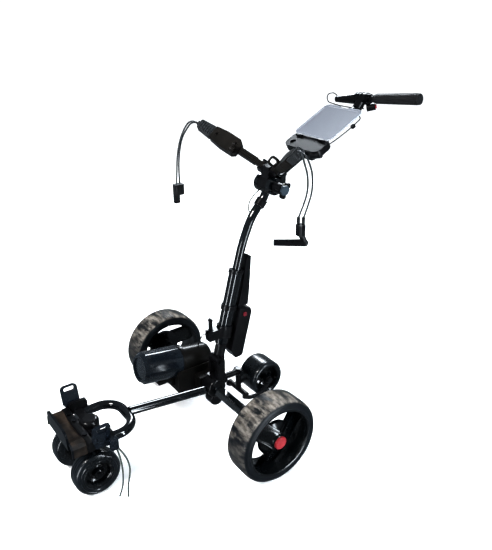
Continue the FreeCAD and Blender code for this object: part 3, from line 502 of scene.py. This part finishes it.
def clear_selection() -> None:
    """Leave nothing selected and nothing active."""
    if bpy.context.object and bpy.context.object.mode != "OBJECT":
        bpy.ops.object.mode_set(mode="OBJECT")
    for item in bpy.data.objects:
        item.select_set(False)
    bpy.context.view_layer.objects.active = None


def named(name: str) -> bpy.types.Object:
    """Name the active object and its mesh."""
    piece = bpy.context.object
    piece.name = piece.data.name = name
    return piece


def settle(piece: bpy.types.Object) -> bpy.types.Object:
    """Put the piece's place into its mesh, so that its object sits at the origin."""
    piece.data.transform(piece.matrix_world)
    piece.matrix_world = Matrix.Identity(4)
    return piece


def smooth(piece: bpy.types.Object, degrees: float = 35.0) -> bpy.types.Object:
    """Shade smooth, with sharp edges above the angle.

    Args:
        piece: the mesh object.
        degrees: the sharpest angle that stays smooth.

    Returns:
        The piece.
    """
    clear_selection()
    piece.select_set(True)
    bpy.context.view_layer.objects.active = piece
    bpy.ops.object.shade_smooth_by_angle(angle=math.radians(degrees))
    return piece


def modify(piece: bpy.types.Object, kind: str, **settings: object) -> bpy.types.Object:
    """Add a modifier and apply it.

    Args:
        piece: the mesh object.
        kind: the modifier's type.
        settings: its attributes.

    Returns:
        The piece.
    """
    clear_selection()
    piece.select_set(True)
    bpy.context.view_layer.objects.active = piece
    made = piece.modifiers.new(kind.lower(), kind)
    for key, value in settings.items():
        setattr(made, key, value)
    bpy.ops.object.modifier_apply(modifier=made.name)
    return piece


def lathe(name: str, profile: Sequence[tuple[float, float]], centre: Vector, steps: int = 96,
          closed: bool = True) -> bpy.types.Object:
    """Draw a profile by extruding one point, and spin it about the X direction.

    Args:
        name: the piece's name.
        profile: (x, radius) points about the centre, in metres.
        centre: where the axis lies.
        steps: segments round the turn.
        closed: True joins the last point back to the first.

    Returns:
        The spun mesh.
    """
    clear_selection()
    first = profile[0]
    bpy.ops.mesh.primitive_plane_add(size=0.001, location=centre + Vector((first[0], 0, first[1])))
    piece = named(name)
    bpy.ops.object.mode_set(mode="EDIT")
    bpy.ops.mesh.select_mode(type="VERT")
    bpy.ops.mesh.select_all(action="SELECT")
    bpy.ops.mesh.merge(type="CENTER")
    at = first
    for point in [*profile[1:], *([first] if closed else [])]:
        step = (point[0] - at[0], 0.0, point[1] - at[1])
        bpy.ops.mesh.extrude_region_move(TRANSFORM_OT_translate={"value": step})
        at = point
    bpy.ops.mesh.select_all(action="SELECT")
    bpy.ops.mesh.spin(steps=steps, angle=math.tau, center=centre, axis=X_AXIS)
    bpy.ops.mesh.select_all(action="SELECT")
    bpy.ops.mesh.remove_doubles(threshold=0.00002)
    bpy.ops.mesh.normals_make_consistent(inside=False)
    bpy.ops.object.mode_set(mode="OBJECT")
    return smooth(settle(piece))


def join(name: str, pieces: Sequence[bpy.types.Object]) -> bpy.types.Object:
    """Join several meshes into one object.

    Args:
        name: the joined piece's name.
        pieces: the meshes.

    Returns:
        The joined piece.
    """
    clear_selection()
    for piece in pieces:
        piece.select_set(True)
    bpy.context.view_layer.objects.active = pieces[0]
    bpy.ops.object.join()
    return named(name)


def mirrored(piece: bpy.types.Object, name: str) -> bpy.types.Object:
    """Copy a piece to the other side of the cart.

    Args:
        piece: the finished piece.
        name: the copy's name.

    Returns:
        The mirrored copy, with its own mesh.
    """
    copy = bpy.data.objects.new(name, piece.data.copy())
    copy.data.name = name
    bpy.context.scene.collection.objects.link(copy)
    copy.data.transform(Matrix.Scale(-1, 4, X_AXIS))
    copy.data.flip_normals()
    return copy


def bevelled_box(name: str, low: Sequence[float], high: Sequence[float], bevel: float,
                 segments: int = 3) -> bpy.types.Object:
    """A box whose edges are all rounded in edit mode.

    Args:
        name: the piece's name.
        low: its lowest corner.
        high: its highest corner.
        bevel: the rounding, in metres.
        segments: steps round each edge.

    Returns:
        The box.
    """
    clear_selection()
    low, high = Vector(low), Vector(high)
    bpy.ops.mesh.primitive_cube_add(size=1, location=(low + high) / 2, scale=high - low)
    piece = named(name)
    bpy.ops.object.transform_apply(location=False, rotation=False, scale=True)
    bpy.ops.object.mode_set(mode="EDIT")
    bpy.ops.mesh.select_all(action="SELECT")
    bpy.ops.mesh.bevel(offset=bevel, segments=segments, affect="EDGES")
    bpy.ops.object.mode_set(mode="OBJECT")
    return smooth(settle(piece))


# Sub-assemblies


@dataclass
class RearWheels:
    """The two big wheels: tyre, deep rim with double-ribbed spokes, and red cap."""

    wardrobe: Wardrobe
    x: float = WHEEL_X
    radius: float = WHEEL_R
    half: float = WHEEL_HALF
    bead: float = 0.106
    barrel: float = 0.006
    spokes: int = 3
    first_angle: float = 50.0
    spoke_half: float = 0.030
    rib: float = 0.004
    lean: float = 0.040
    web_radius: float = 0.056
    cap_radius: float = 0.020

    def centre(self) -> Vector:
        """The left wheel's centre."""
        return Vector((self.x, AXLE_Y, self.radius))

    def tyre(self) -> bpy.types.Object:
        """Spin the tyre with its rounded shoulders and rim-guard bead."""
        h, r = self.half, self.radius
        profile = [(-h + 0.004, self.bead), (h - 0.004, self.bead), (h - 0.0006, self.bead + 0.002),
                   (h, self.bead + 0.005), (h - 0.0012, self.bead + 0.008), (h - 0.0006, r - 0.017),
                   (h - 0.0012, r - 0.012), (h - 0.0035, r - 0.0065), (h - 0.0075, r - 0.0028),
                   (h - 0.014, r - 0.001), (h - 0.026, r - 0.0002), (0.0, r), (-h + 0.026, r - 0.0002),
                   (-h + 0.014, r - 0.001), (-h + 0.0075, r - 0.0028), (-h + 0.0035, r - 0.0065),
                   (-h + 0.0012, r - 0.012), (-h + 0.0006, r - 0.017), (-h + 0.0012, self.bead + 0.008),
                   (-h, self.bead + 0.005), (-h + 0.0006, self.bead + 0.002)]
        return self.wardrobe.dress(lathe("rear_tyre_skin_left", profile, self.centre(), 144), Skin.TYRE)

    def rim_barrel(self) -> bpy.types.Object:
        """Spin the rim's barrel with its rolled outer edge and stepped inner wall."""
        h, b, t = self.half, self.bead, self.barrel
        profile = [(-h + 0.004, b), (-h - 0.0002, b + 0.004), (-h, b - 0.001), (-h + 0.006, b - t),
                   (-0.012, b - t - 0.001), (0.006, b - t - 0.003), (0.012, b - t - 0.001), (h - 0.008, b - t + 0.001),
                   (h - 0.002, b - 0.003), (h - 0.0002, b + 0.001), (h - 0.0006, b + 0.004), (h - 0.004, b)]
        return lathe("rim_barrel", profile, self.centre(), 128)

    def bar(self, name: str, low: Sequence[float], high: Sequence[float], angle: float) -> bpy.types.Object:
        """One bar of a spoke, bevelled, leaning inwards to the barrel and turned about the axle.

        Args:
            name: the bar's name.
            low: its lowest corner about the wheel's centre, standing straight up.
            high: its highest corner.
            angle: degrees about the axle, from straight up.

        Returns:
            The bar's mesh.
        """
        centre = self.centre()
        piece = bevelled_box(name, centre + Vector(low), centre + Vector(high), 0.0012, 2)
        length = high[2] - low[2]
        for vertex in piece.data.vertices:
            along = (vertex.co.z - centre.z - low[2]) / length
            vertex.co.x -= self.lean * along
        turn = Matrix.Translation(centre) @ Matrix.Rotation(math.radians(angle), 4, "X") @ Matrix.Translation(-centre)
        piece.data.transform(turn)
        return piece

    def spoke(self, angle: float) -> list[bpy.types.Object]:
        """One broad spoke: a thin web with a standing rib near each edge.

        Args:
            angle: degrees about the axle, from straight up.

        Returns:
            The web and the two ribs.
        """
        side, rib, outer = self.spoke_half, self.rib, self.bead - self.barrel + 0.0015
        pieces = [self.bar("web", (0.022, -side, 0.018), (0.034, side, outer), angle)]
        for y in (-side + rib, side - 2 * rib):
            pieces.append(self.bar("rib", (0.028, y, 0.020), (0.0415, y + rib, outer - 0.0005), angle))
        return pieces

    def hub(self) -> bpy.types.Object:
        """Spin the hub with its dished web and the stepped nose round the cap."""
        web = self.web_radius
        profile = [(-0.030, 0.008), (-0.030, 0.022), (-0.026, 0.024), (0.017, 0.024), (0.0045, web), (0.0150, web),
                   (0.0165, web - 0.001), (0.033, 0.0255), (self.half - 0.007, 0.024), (self.half - 0.005, 0.0215),
                   (self.half - 0.007, 0.020), (0.024, 0.008)]
        return lathe("rim_hub", profile, self.centre(), 64)

    def cap(self) -> bpy.types.Object:
        """Spin the round cap with its soft edge and shallow dish."""
        h, r = self.half, self.cap_radius
        profile = [(h - 0.007, 0.0), (h - 0.007, r), (h - 0.002, r), (h - 0.0002, r - 0.0012), (h + 0.0009, r - 0.003),
                   (h + 0.0009, r - 0.005), (h + 0.0003, r - 0.007), (h + 0.0007, 0.0)]
        return self.wardrobe.dress(lathe("hub_cap_skin_left", profile, self.centre(), 64, closed=False), Skin.RED)

    def axle(self) -> bpy.types.Object:
        """Spin the left half axle with its chamfered end."""
        profile = [(0.0345 - self.x, 0.0), (0.034 - self.x, 0.0074), (0.035 - self.x, 0.008), (0.0235, 0.008),
                   (0.024, 0.0)]
        return lathe("half_axle", profile, self.centre(), 32, closed=False)

    def build(self) -> list[bpy.types.Object]:
        """Build both wheels and fix them to their bodies."""
        angles = [self.first_angle + 360 / self.spokes * i for i in range(self.spokes)]
        rim = join("rear_rim_skin_left", [self.rim_barrel(), self.hub()] + [bar for a in angles for bar in self.spoke(a)])
        self.wardrobe.dress(rim, Skin.RIM)
        made = []
        for piece, node, slot in ((self.tyre(), "rear_tyre", "tyre"), (rim, "rear_rim", "plastic"),
                                  (self.cap(), "rear_hub_cap", "red")):
            other = mirrored(piece, piece.name.replace("_left", "_right"))
            for side, item in (("left", piece), ("right", other)):
                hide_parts(f"{node}_{side}")
                made.append(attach(item, f"rear_wheel_{side}"))
        axle = self.wardrobe.dress(self.axle(), Skin.STEEL)
        right = mirrored(axle, "half_axle_right")
        for vertex in right.data.vertices:
            vertex.co.x = min(vertex.co.x, -0.182)
        axle.name = "half_axle_left"
        for side, item in (("left", axle), ("right", right)):
            made.append(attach(item, f"rear_wheel_{side}"))
        return made


@dataclass
class SmallWheels:
    """The twin front wheels and the anti-tip wheel."""

    wardrobe: Wardrobe

    def front_tyre(self) -> bpy.types.Object:
        """Spin the left front tyre with three grooves."""
        h, r = FRONT_HALF, FRONT_R
        profile = [(-h + 0.004, 0.040), (h - 0.004, 0.040), (h - 0.0006, 0.042), (h, 0.0455), (h - 0.0016, 0.047),
                   (h - 0.0016, 0.049), (h - 0.0002, 0.0505), (h - 0.0004, r - 0.0145), (h - 0.0020, r - 0.0135),
                   (h - 0.0018, r - 0.012), (h - 0.0010, r - 0.011), (h - 0.0018, r - 0.008), (h - 0.0045, r - 0.0038), (h - 0.009, r - 0.0012), (h - 0.014, r),
                   (0.0105, r), (0.0100, r - 0.002), (0.0080, r - 0.002), (0.0075, r), (0.0015, r), (0.001, r - 0.002),
                   (-0.001, r - 0.002), (-0.0015, r), (-0.0075, r), (-0.0080, r - 0.002), (-0.0100, r - 0.002),
                   (-0.0105, r), (-h + 0.014, r), (-h + 0.009, r - 0.0012), (-h + 0.0045, r - 0.0038),
                   (-h + 0.0016, r - 0.009), (-h + 0.0008, r - 0.016), (-h, 0.046), (-h + 0.0006, 0.042)]
        piece = lathe("front_tyre_skin_left", profile, Vector((FRONT_X, FRONT_Y + AXLE_Y, FRONT_R)), 112)
        return self.wardrobe.dress(piece, Skin.SMALL_TYRE)

    def front_rim(self) -> bpy.types.Object:
        """Spin the left front rim: rolled edge, dished web, ringed hub and bolt boss."""
        profile = [(-0.023, 0.040), (-0.0268, 0.0455), (-0.0268, 0.041), (-0.022, 0.035), (-0.004, 0.033),
                   (-0.004, 0.013), (-0.020, 0.013), (-0.020, 0.00505), (0.024, 0.00505), (0.024, 0.010),
                   (0.0225, 0.013), (0.010, 0.0145), (0.007, 0.017), (0.0055, 0.021), (0.0075, 0.0225),
                   (0.0075, 0.0245), (0.0055, 0.026), (0.008, 0.032), (0.020, 0.0345), (0.0225, 0.0365),
                   (0.0262, 0.0395), (0.0270, 0.0425), (0.0264, 0.0455), (0.023, 0.040)]
        piece = lathe("front_rim_skin_left", profile, Vector((FRONT_X, FRONT_Y + AXLE_Y, FRONT_R)), 96)
        return self.wardrobe.dress(piece, Skin.RIM)

    def tip_tyre(self) -> bpy.types.Object:
        """Spin the wide anti-tip tyre with one groove near its outer shoulder."""
        h, r = TIP_HALF, TIP_R
        profile = [(-h + 0.004, 0.048), (h - 0.004, 0.048), (h - 0.0005, 0.050), (h, 0.054), (h - 0.0012, r - 0.0055),
                   (h - 0.004, r - 0.0022), (h - 0.009, r - 0.0004), (0.0275, r), (0.027, r - 0.002), (0.025, r - 0.002),
                   (0.0245, r), (-h + 0.012, r), (-h + 0.009, r - 0.0004), (-h + 0.004, r - 0.0022),
                   (-h + 0.0012, r - 0.0055), (-h, 0.054), (-h + 0.0005, 0.050)]
        piece = lathe("tip_tyre_skin", profile, Vector((0, TIP_Y + AXLE_Y, TIP_Z)), 112)
        return self.wardrobe.dress(piece, Skin.SMALL_TYRE)

    def build(self) -> list[bpy.types.Object]:
        """Build the tyres and rims and fix them to their bodies."""
        made = []
        for piece, node, slot in ((self.front_tyre(), "front_tyre", "tyre"), (self.front_rim(), "front_rim", "plastic")):
            other = mirrored(piece, piece.name.replace("_left", "_right"))
            for side, item in (("left", piece), ("right", other)):
                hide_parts(f"{node}_{side}")
                made.append(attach(item, f"front_wheel_{side}"))
        tyre = self.tip_tyre()
        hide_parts("tip_tyre")
        made.append(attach(tyre, "tip_wheel"))
        return made


@dataclass
class Lid:
    """The console's lid: a pale rim round a dotted panel, with a finger notch."""

    wardrobe: Wardrobe
    corner: float = 0.014

    def build(self) -> list[bpy.types.Object]:
        """Give the lid's panel the dotted finish and its rim the pale one."""
        node = frame["nodes"]["console_lid"]
        clear_selection()
        copy = bpy.data.objects.new("console_lid_skin", node.data.copy())
        bpy.context.scene.collection.objects.link(copy)
        copy.select_set(True)
        bpy.context.view_layer.objects.active = copy
        bpy.ops.object.mode_set(mode="EDIT")
        bpy.ops.mesh.select_all(action="SELECT")
        bpy.ops.mesh.remove_doubles(threshold=0.00002)
        bpy.ops.mesh.dissolve_limited(angle_limit=math.radians(1))
        bpy.ops.object.mode_set(mode="OBJECT")
        modify(copy, "BEVEL", width=0.0009, segments=2, limit_method="ANGLE", angle_limit=math.radians(40))
        copy.data.materials.clear()
        copy.data.materials.append(self.wardrobe.of(Skin.RIMMED))
        copy.data.materials.append(self.wardrobe.of(Skin.LID))
        copy.data.materials.append(self.wardrobe.of(Skin.PLASTIC))
        back = Matrix.Rotation(-LID_TILT, 4, "X") @ Matrix.Translation(-LID_FRONT)
        for face in copy.data.polygons:
            at = back @ face.center
            inside = abs(at.x) < LID_HALF - 0.0065 and 0.0065 < at.y < LID_LENGTH - 0.0115
            face.material_index = 1 if inside and at.z > 0.003 else 0
            if at.y < -0.0004:
                face.material_index = 2
        smooth(copy)
        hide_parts("console_lid")
        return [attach(copy, "console_lid")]


@dataclass
class Cords:
    """The free strap cords, each a smooth line through its route's points."""

    wardrobe: Wardrobe
    tip: Vector = field(default_factory=lambda: Vector((0.2466439, 0.1313651, 0.9442743)))
    out: Vector = field(default_factory=lambda: Vector((0.0142100, -0.0061701, 0.0070030)))
    across: Vector = field(default_factory=lambda: Vector((0.0027449, 0.0027632, -0.0031353)))

    def line(self, name: str, points: Sequence[Vector], diameter: float) -> bpy.types.Object:
        """Lay one smooth spline and give it thickness.

        Args:
            name: the cord's name.
            points: its control points in the rear axle's frame.
            diameter: its thickness.

        Returns:
            The curve object.
        """
        curve = bpy.data.curves.new(name, "CURVE")
        curve.dimensions = "3D"
        spline = curve.splines.new("NURBS")
        spline.points.add(len(points) - 1)
        for knot, point in zip(spline.points, points):
            knot.co = (point[0], point[1] + AXLE_Y, point[2], 1.0)
        spline.order_u = 3
        spline.use_endpoint_u = True
        curve.resolution_u = 16
        curve.bevel_depth = diameter / 2
        curve.bevel_resolution = 4
        curve.use_fill_caps = True
        piece = bpy.data.objects.new(name, curve)
        bpy.context.scene.collection.objects.link(piece)
        return piece

    def strap(self, name: str, points: Sequence[Vector], body: str, skin: Skin) -> bpy.types.Object:
        """Lay, dress and attach one free cord.

        Args:
            name: the CAD node it stands for.
            points: its route.
            body: the body it rides on.
            skin: its finish.

        Returns:
            The cord.
        """
        piece = self.line(name + "_line", points, CORD_DIAMETER)
        self.wardrobe.dress(piece, skin)
        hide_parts(name)
        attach(piece, body)
        start = points[0]
        start[1] + AXLE_Y
        return piece

    def motor_lead(self) -> bpy.types.Object:
        """Lay the held lead from the motor to the mast."""
        route = [Vector((-0.112, 0.018, 0.230)), Vector((-0.080, 0.012, 0.280)), Vector((-0.046, 0.002, 0.312)),
                 Vector((-0.017, -0.005, 0.322))]
        piece = self.line("motor_lead_line", route, LEAD_DIAMETER)
        clear_selection()
        piece.select_set(True)
        bpy.context.view_layer.objects.active = piece
        bpy.ops.object.convert(target="MESH")
        piece = named("motor_lead_line")
        self.wardrobe.dress(piece, Skin.LEAD)
        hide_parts("motor_lead")
        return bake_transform(piece)

    def build(self) -> list[bpy.types.Object]:
        """Lay the six free cords and the motor's held lead."""
        tip, out, across = self.tip, self.out, self.across
        right = Vector((-tip.x, tip.y, tip.z))
        fork, block = Vector((0.222, 0.166, 0.752)), Vector((-0.234, 0.040, 0.764))
        a, b = tip + across, tip - across
        left_a = [a, a + out, a + out + Vector((0.017, -0.002, -0.007)), a + out + Vector((0.026, 0.002, -0.026)),
                  Vector((0.279, 0.150, 0.892)), Vector((0.266, 0.164, 0.842)), Vector((0.246, 0.170, 0.796)),
                  fork + Vector((0.005, 0.005, 0))]
        left_b = [b, b + out, b + out + Vector((0.016, -0.006, -0.007)), b + out + Vector((0.024, -0.006, -0.026)),
                  Vector((0.273, 0.139, 0.890)), Vector((0.260, 0.153, 0.842)), Vector((0.237, 0.161, 0.796)),
                  fork - Vector((0.005, 0.005, 0))]
        right_a = [right + Vector((0, 0.004, -0.003)), right + Vector((-0.013, -0.002, 0.003)),
                   right + Vector((-0.026, -0.013, -0.001)), right + Vector((-0.031, -0.025, -0.018)),
                   Vector((-0.272, 0.082, 0.900)), Vector((-0.260, 0.064, 0.858)), Vector((-0.248, 0.052, 0.812)),
                   block + Vector((-0.005, 0.008, 0))]
        right_b = [right + Vector((0, -0.004, 0.003)), right + Vector((-0.013, -0.011, 0.008)),
                   right + Vector((-0.023, -0.024, 0.003)), right + Vector((-0.027, -0.038, -0.017)),
                   Vector((-0.264, 0.070, 0.896)), Vector((-0.250, 0.050, 0.852)), Vector((-0.236, 0.038, 0.808)),
                   block + Vector((0.003, -0.008, 0))]
        low_a = [Vector((0.122, -0.406, 0.166)), Vector((0.134, -0.404, 0.150)), Vector((0.150, -0.404, 0.118)),
                 Vector((0.155, -0.406, 0.080)), Vector((0.154, -0.410, 0.042)), Vector((0.148, -0.420, 0.009))]
        low_b = [Vector((0.131, -0.404, 0.166)), Vector((0.152, -0.393, 0.150)), Vector((0.168, -0.388, 0.116)),
                 Vector((0.166, -0.392, 0.078)), Vector((0.160, -0.398, 0.040)), Vector((0.164, -0.400, 0.009))]
        made = [
            self.motor_lead(),
            self.strap("left_cord_a", left_a, "upper_arm_left", Skin.CORD),
            self.strap("left_cord_b", left_b, "upper_arm_left", Skin.CORD),
            self.strap("right_cord_a", right_a, "upper_arm_right", Skin.CORD),
            self.strap("right_cord_b", right_b, "upper_arm_right", Skin.CORD),
            self.strap("lower_cord_a", low_a, "lower_arm_left", Skin.FOOT_CORD),
            self.strap("lower_cord_b", low_b, "lower_arm_left", Skin.FOOT_CORD),
        ]
        return made


@dataclass
class Studio:
    """Pale floor, soft light and the camera."""

    azimuth: float = 53.70
    pitch: float = 24.59
    spot: Vector = field(default_factory=lambda: Vector((1.4593, -0.9337 + AXLE_Y, 1.3306)))
    lens: float = 40.73

    def camera(self) -> None:
        """Place the camera."""
        data = bpy.data.cameras.new("camera")
        data.lens = self.lens
        data.sensor_width = 36.0
        data.clip_start = 0.05
        data.clip_end = 500.0
        item = bpy.data.objects.new("camera", data)
        bpy.context.scene.collection.objects.link(item)
        item.location = self.spot
        item.rotation_euler = (math.radians(90 - self.pitch), 0.0, math.radians(self.azimuth))
        bpy.context.scene.camera = item

    def lamp(self, name: str, spot: Sequence[float], size: tuple[float, float], power: float,
             colour: Colour) -> None:
        """Hang one rectangular soft light aimed at the cart.

        Args:
            name: the lamp's name.
            spot: where it hangs.
            size: its width and height, in metres.
            power: its watts.
            colour: its tint.
        """
        data = bpy.data.lights.new(name, "AREA")
        data.shape = "RECTANGLE"
        data.size, data.size_y = size
        data.energy = power
        data.color = colour
        item = bpy.data.objects.new(name, data)
        bpy.context.scene.collection.objects.link(item)
        item.location = spot
        item.rotation_euler = (Vector((0, 0, 0.4)) - Vector(spot)).to_track_quat("-Z", "Y").to_euler()

    def pale(self, name: str, spot: Sequence[float], turn: Sequence[float], size: float,
             glow: float) -> bpy.types.Object:
        """Lay one wide pale sheet of the studio.

        Args:
            name: its name.
            spot: its centre.
            turn: its rotation in radians.
            size: its side, in metres.
            glow: how much light it gives off.

        Returns:
            The sheet.
        """
        clear_selection()
        bpy.ops.mesh.primitive_plane_add(size=size, location=spot, rotation=turn)
        sheet = named(name)
        paint = Paint(name)
        cloud = paint.noise(0.6, 2.0)
        colour = paint.mix(cloud, (0.93, 0.93, 0.93), (0.96, 0.96, 0.96))
        sheet.data.materials.append(paint.surface(Base_Color=colour, Emission_Color=(1.0, 1.0, 1.0),
                                                  Emission_Strength=glow, Roughness=0.85, Specular_IOR_Level=0.1))
        sheet.visible_glossy = False
        return sheet

    def sun(self) -> None:
        """Light the whole floor evenly from high on the camera's left."""
        data = bpy.data.lights.new("sky_light", "SUN")
        data.energy = 2.2
        data.angle = math.radians(40)
        item = bpy.data.objects.new("sky_light", data)
        bpy.context.scene.collection.objects.link(item)
        item.rotation_euler = Vector((0.05, 0.75, -1.3)).to_track_quat("-Z", "Y").to_euler()
        item.visible_glossy = False

    def build(self) -> None:
        """Lay the floor, the walls round it, the world and the lights."""
        self.pale("studio_floor", (0, 0, 0), (0, 0, 0), 400, 0.32)
        for side in range(4):
            turn = math.radians(self.azimuth + 90 * side)
            spot = Vector((-math.sin(turn), math.cos(turn), 0)) * 130
            wall = self.pale(f"studio_wall_{side}", spot, (math.radians(90), 0, turn), 400, 1.0)
            wall.visible_diffuse = False
            wall.visible_shadow = False
        world = bpy.data.worlds.new("studio")
        bpy.context.scene.world = world
        world.use_nodes = True
        sky = world.node_tree.nodes["Background"]
        sky.inputs["Color"].default_value = (0.78, 0.90, 1.0, 1.0)
        sky.inputs["Strength"].default_value = 0.30
        self.sun()
        self.lamp("key", (0.2, -2.2, 2.6), (0.9, 0.5), 95, (1.0, 0.99, 0.97))
        self.lamp("fill", (2.6, 1.0, 2.0), (0.6, 1.4), 80, (0.85, 0.93, 1.0))
        self.lamp("back", (-2.0, 1.5, 2.2), (0.9, 0.9), 90, (0.88, 0.94, 1.0))
        self.lamp("low_strip", (1.5, 0.3, 0.05), (0.16, 1.0), 22, (0.85, 0.93, 1.0))
        self.lamp("front_strip", (0.55, -2.1, 0.35), (0.2, 1.4), 34, (0.9, 0.95, 1.0))
        bpy.context.scene.view_settings.view_transform = "Standard"
        bpy.context.scene.view_settings.gamma = 0.85
        self.camera()


NODE_SKINS = {
    Skin.FRAME: ("keel_tube", "fork_tube", "mast_lower", "mast_upper", "axle_housings", "handle_stem"),
    Skin.PLASTIC: ("rear_hub", "tip_yoke", "base_frame", "caster_fork", "mast_castings", "hub_core", "cuff_lever",
                   "hub_knob", "console_body", "handle_knuckle", "pull_handle", "strap_hook", "battery_pack"),
    Skin.SHELL: ("upper_arm_left", "upper_arm_right"),
    Skin.TRAY: ("base_tray",),
    Skin.LIP: ("lower_arm_left", "lower_arm_right"),
    Skin.GLOSS: ("motor_front",),
    Skin.MOTOR_END: ("motor_rear", "motor_band"),
    Skin.CASTING: ("gearbox_case",),
    Skin.DARK_STEEL: ("pins_and_bushings", "hub_pins", "frame_bolts", "caster_pins"),
    Skin.RIM: ("tip_rim",),
    Skin.RED: ("stop_button",),
    Skin.DARK_RED: ("battery_latch",),
    Skin.BLUE_GREY: ("knob_cap",),
    Skin.PAD: ("arm_pad_left", "arm_pad_right"),
    Skin.GRIP: ("handle_grip",),
    Skin.LEAD: ("handle_lead", "hub_lead"),
}


def dress_nodes(wardrobe: Wardrobe) -> None:
    """Give every CAD node that stays in sight its finish.

    Args:
        wardrobe: the finishes.
    """
    for skin, names in NODE_SKINS.items():
        for name in names:
            wardrobe.dress(frame["nodes"][name], skin)


def main() -> None:
    """Build everything in order and report each piece."""
    logging.basicConfig(level=logging.INFO)
    wardrobe = Wardrobe()
    Studio().build()
    dress_nodes(wardrobe)
    for part in (Cords(wardrobe), RearWheels(wardrobe), SmallWheels(wardrobe), Lid(wardrobe)):
        for piece in part.build():
            LOG.info("built %s", piece.name)


if __name__ == "__main__":
    main()
